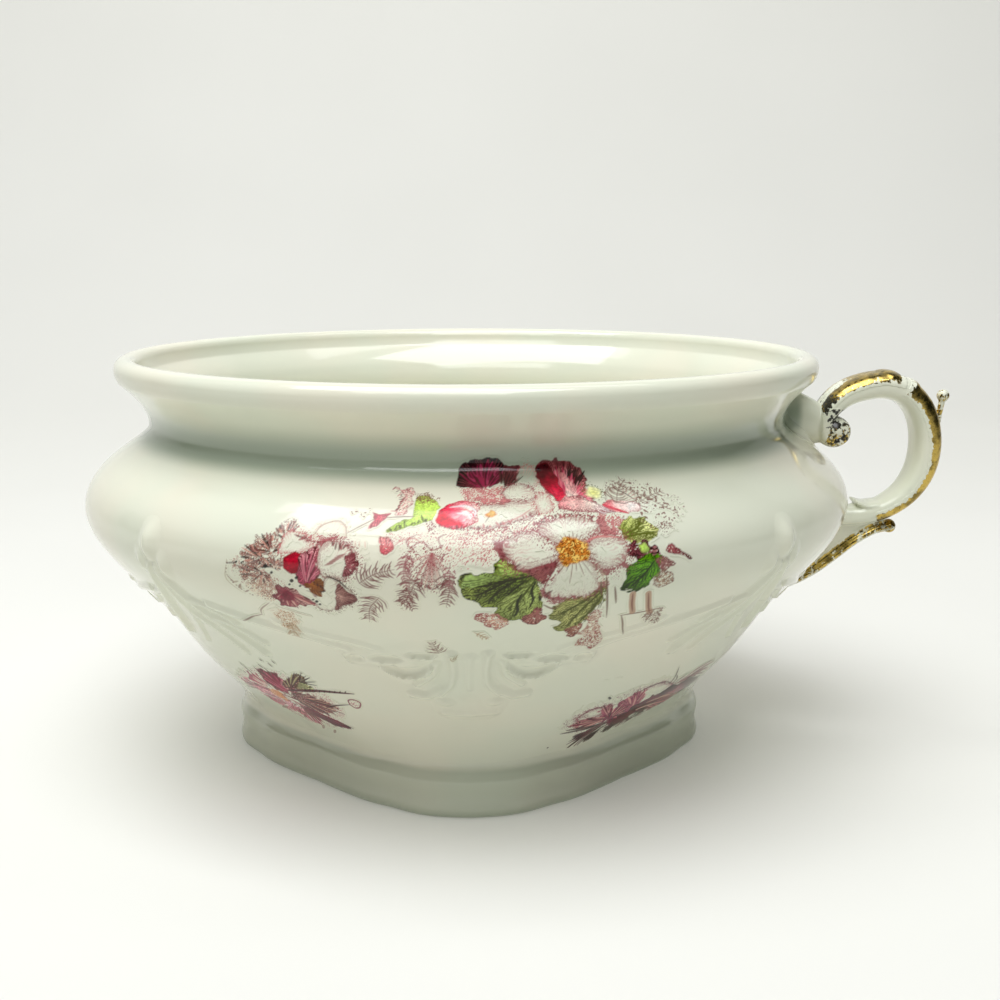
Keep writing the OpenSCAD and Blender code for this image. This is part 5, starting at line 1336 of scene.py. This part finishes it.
for name, turns, ups, cell, lift, painted_shade_power, draw in (
        ("spray_left", (-35, -0.4), (51, 114), 0.22, FILM_LIFT, 1.0, draw_left_spray),
        ("spray_right", (-4.8, 31), (54, 123), 0.25, FILM_LIFT + OVERLAP_LIFT, 1.0, draw_right_spray),
        # The sprigs' colours are raised to a power: painted shade that darkens them on the less lit lower
        # bowl and keeps their blue stronger.
        ("sprig_left", (-56, -18.5), (3, 44), 0.22, FILM_LIFT, (1.25, 1.35, 1.1), draw_left_sprig),
        ("sprig_right", (18, 60), (3, 37), 0.22, FILM_LIFT, (1.4, 1.5, 1.15), draw_right_sprig)):
    sheet = Transfer(turns, ups, cell, lift, painted_shade_power)
    draw(sheet)
    kind = "spray_print" if "spray" in name else "sprig_prints"
    lay_print("front_" + name, sheet, "front_" + kind, 0)
    lay_print("back_" + name, sheet, "back_" + kind, 2)

# Gilding
# Burnished gold brushed over the outside of the handle and fired, then worn through to the glaze
# by hands: on the arch and the curl under it, down the back with the thumb spur, and along the tail leaf.
GOLD, GOLD_DULL, GOLD_DARK = (0.57, 0.41, 0.105), (0.23, 0.17, 0.05), (0.02, 0.018, 0.012)
GILT_LIFT, GILT_THICKNESS = 0.06, 0.12
GILT_FROM_X = 117.6
SOOT_SPOT = (120.5, 113.5)
TAIL_TOP = 75.0

worn_gold, tree, shader = new_material("worn_gold")
left_on = shader_node(tree, "ShaderNodeAttribute", {"attribute_name": "gilt"}, out=2)
tarnish = shader_node(tree, "ShaderNodeAttribute", {"attribute_name": "tarnish"}, out=2)
held = (left_on + noise(tree, 900.0, 3.0) * 0.9 + noise(tree, 260.0, 2.0) * 0.6).between(1.12, 1.22)
metal = noise(tree, 330.0, 3.0).between(0.42, 0.66).tint(GOLD, GOLD_DULL)
black = (tarnish + noise(tree, 1000.0, 3.0)).between(1.0, 1.12)
held_colour = held.tint(glaze_colour_and_shade(tree), black.tint(metal, GOLD_DARK))
feed(shader, "Base Color", held_colour)
feed(shader, "Metallic", held * (1 - black))
feed(shader, "Roughness", noise(tree, 700.0, 3.0).between(0.3, 0.7) * 0.2 + 0.16)
dents = noise(tree, 650.0, 3.0) + held * 0.3
feed(shader, "Normal", shader_node(tree, "ShaderNodeBump", Height=dents, Strength=0.15, Distance=0.0003))

strap_path, tail_path = smooth_path(STRAP, STRAP_STEPS), smooth_path(TAIL, STRAP_STEPS)


def strap_place(co, path):
    """Step along a path, angle round it from its outer back and distance from it, for points in mm."""
    away = np.hypot(co[:, None, 0] - path[None, :, 0], co[:, None, 2] - path[None, :, 1])
    near = away.argmin(axis=1)
    head = headings(path)[near]
    back = -(co[:, 0] - path[near, 0]) * head[:, 1] + (co[:, 2] - path[near, 1]) * head[:, 0]
    angle = np.degrees(np.arctan2(np.abs(co[:, 1]) / path[near, 3], back / path[near, 2]))
    return near / STRAP_STEPS, angle, away.min(axis=1)


def gild(name, node, share, soot):
    """Gold film cut from a copy of the handle's skin where share, from 0 at its edge, is above 0."""
    select_only(handle)
    bpy.ops.object.duplicate()
    made = bpy.context.object
    made.name = made.data.name = name
    for label, values in (("gilt", share), ("tarnish", soot)):
        layer = made.data.attributes.new(label, "FLOAT", "POINT")
        layer.data.foreach_set("value", values.astype(np.float32))
    keep_faces(made, share > 0)
    apply_modifier(made, "DISPLACE", strength=GILT_LIFT * MM, mid_level=0)
    apply_modifier(made, "SOLIDIFY", thickness=GILT_THICKNESS * MM, offset=-1)
    finish_piece(made, worn_gold, node)


co = points_of(handle) / MM
step, angle, off = strap_place(co, strap_path)
on_curl = np.hypot(co[:, 0] - CURL[0], co[:, 2] - CURL[1]) < 7.6
past_root = co[:, 0] > GILT_FROM_X
edge = np.where(past_root, np.clip((100 - angle) / 30, -1, 1), -1) - np.clip(angle / 90, 0, 1) * 0.7
arch = np.min([edge, (step - 6.2) / 0.5, (10.7 - step) / 0.4], axis=0)
crown_wear = np.clip((9.2 - step) / 1.2, 0, 1) * np.clip((34 - angle) / 20, 0, 1)
arch = np.where(arch > 0, np.maximum(arch - 0.7 * crown_wear, 0.05), arch)
curl = np.where(on_curl & past_root & (np.abs(co[:, 1]) > 3),
                np.clip((co[:, 0] - CURL[0] + 6.0) / 8, -1, 0.44), -1)
from_spot = np.hypot(co[:, 0] - SOOT_SPOT[0], co[:, 2] - SOOT_SPOT[1])
soot = np.clip(1 - from_spot / 9, 0, 1) * 0.85 + np.where(on_curl, 0.58, 0)
gild("gold_on_arch", "arch_gilding", np.maximum(arch, curl), soot)
wide_edge = np.clip((109 - 13 * np.clip((step - 12.4) / 2, 0, 1) - angle) / 30, -1, 1)
back = np.min([wide_edge, (step - 10.9) / 0.3, (18.0 - step) / 0.3], axis=0)
on_spur = (co[:, 0] > 155.5) & (co[:, 2] > 100) & (off > 4.6)
soot = np.where(on_spur, 0, np.clip((step - 12) / 12, 0, 0.45))
gild("gold_on_back", "spine_gilding", np.where(on_spur, 0.44, back), soot)
step, angle, off = strap_place(co, tail_path)
tail = np.min([np.clip((angle - 62) / 25, -1, 0.5), (4.8 - step) / 0.4, (3.0 - off) / 0.8], axis=0)
gild("gold_on_tail", "tail_gilding", np.where(co[:, 2] < TAIL_TOP, tail, -1), np.full(len(co), 0.35))

# Stage
# A pale sweep of paper under and behind the pot, with soft light from above and from the left.
SWEEP_FRONT, SWEEP_BACK, SWEEP_BEND = -1.6, 0.8, 0.5
SWEEP_HALF_LENGTH, SWEEP_HALF_WIDTH = 2.2, 2.5
PAPER_DARK, PAPER_PALE = (0.59, 0.587, 0.555), (0.61, 0.607, 0.575)
bpy.ops.object.select_all(action="DESELECT")
bpy.ops.mesh.primitive_grid_add(x_subdivisions=2, y_subdivisions=64, size=2)
sweep = bpy.context.object
sweep.name = sweep.data.name = "paper_sweep"
co = points_of(sweep)
length = SWEEP_FRONT + (co[:, 1] + 1) * SWEEP_HALF_LENGTH
bend = np.clip((length - SWEEP_BACK) / SWEEP_BEND, 0, math.pi / 2)
beyond = np.maximum(length - SWEEP_BACK - SWEEP_BEND * math.pi / 2, 0)
across = co[:, 0] * SWEEP_HALF_WIDTH
along = np.minimum(length, SWEEP_BACK) + SWEEP_BEND * np.sin(bend)
rise = SWEEP_BEND * (1 - np.cos(bend)) + beyond
set_points(sweep, np.column_stack([across, along, rise]))
bpy.ops.object.shade_smooth()
paper, tree, shader = new_material("pale_paper")
feed(shader, "Base Color", noise(tree, 3.0).between(0.3, 0.7).tint(PAPER_DARK, PAPER_PALE))
shader.inputs["Roughness"].default_value = 0.9
shader.inputs["Specular IOR Level"].default_value = 0.1
# The paper glows a little of its own, a painted fill light that lifts the shadows on it and lights the pot
# from below.
shader.inputs["Emission Color"].default_value = (1.0, 1.0, 0.92, 1)
shader.inputs["Emission Strength"].default_value = 0.20
sweep.data.materials.append(paper)


def soft_box(name, place, aim, size, power, colour=(1, 1, 1)):
    bpy.ops.object.light_add(type="AREA", location=place)
    lamp = bpy.context.object
    lamp.name = name
    lamp.data.shape = "RECTANGLE"
    lamp.data.size, lamp.data.size_y = size
    lamp.data.energy = power
    lamp.data.color = colour
    direction = lamp.location - type(lamp.location)(aim)
    lamp.rotation_euler = direction.to_track_quat("Z", "Y").to_euler()


soft_box("ceiling_light", (-0.2, -0.40, 1.7), (0, -0.05, 0.05), (1.8, 1.1), 33.5, (0.955, 0.97, 1.0))
soft_box("front_light", (-0.24, -0.98, 1.24), (0, -0.1, 0.08), (1.1, 0.35), 5.0)
soft_box("left_window", (-1.1, 0.1, 0.9), (0, 0, 0.08), (1.0, 0.9), 0.7)
soft_box("backdrop_light", (0, 0.3, 1.5), (0, 1.3, 0.5), (1.6, 0.6), 7.0)
world = bpy.data.worlds.new("room")
bpy.context.scene.world = world
world.use_nodes = True
room = world.node_tree.nodes["Background"]
room.inputs["Color"].default_value = (0.70, 0.80, 0.72, 1)
room.inputs["Strength"].default_value = 0.05
bpy.context.scene.view_settings.view_transform = "Standard"
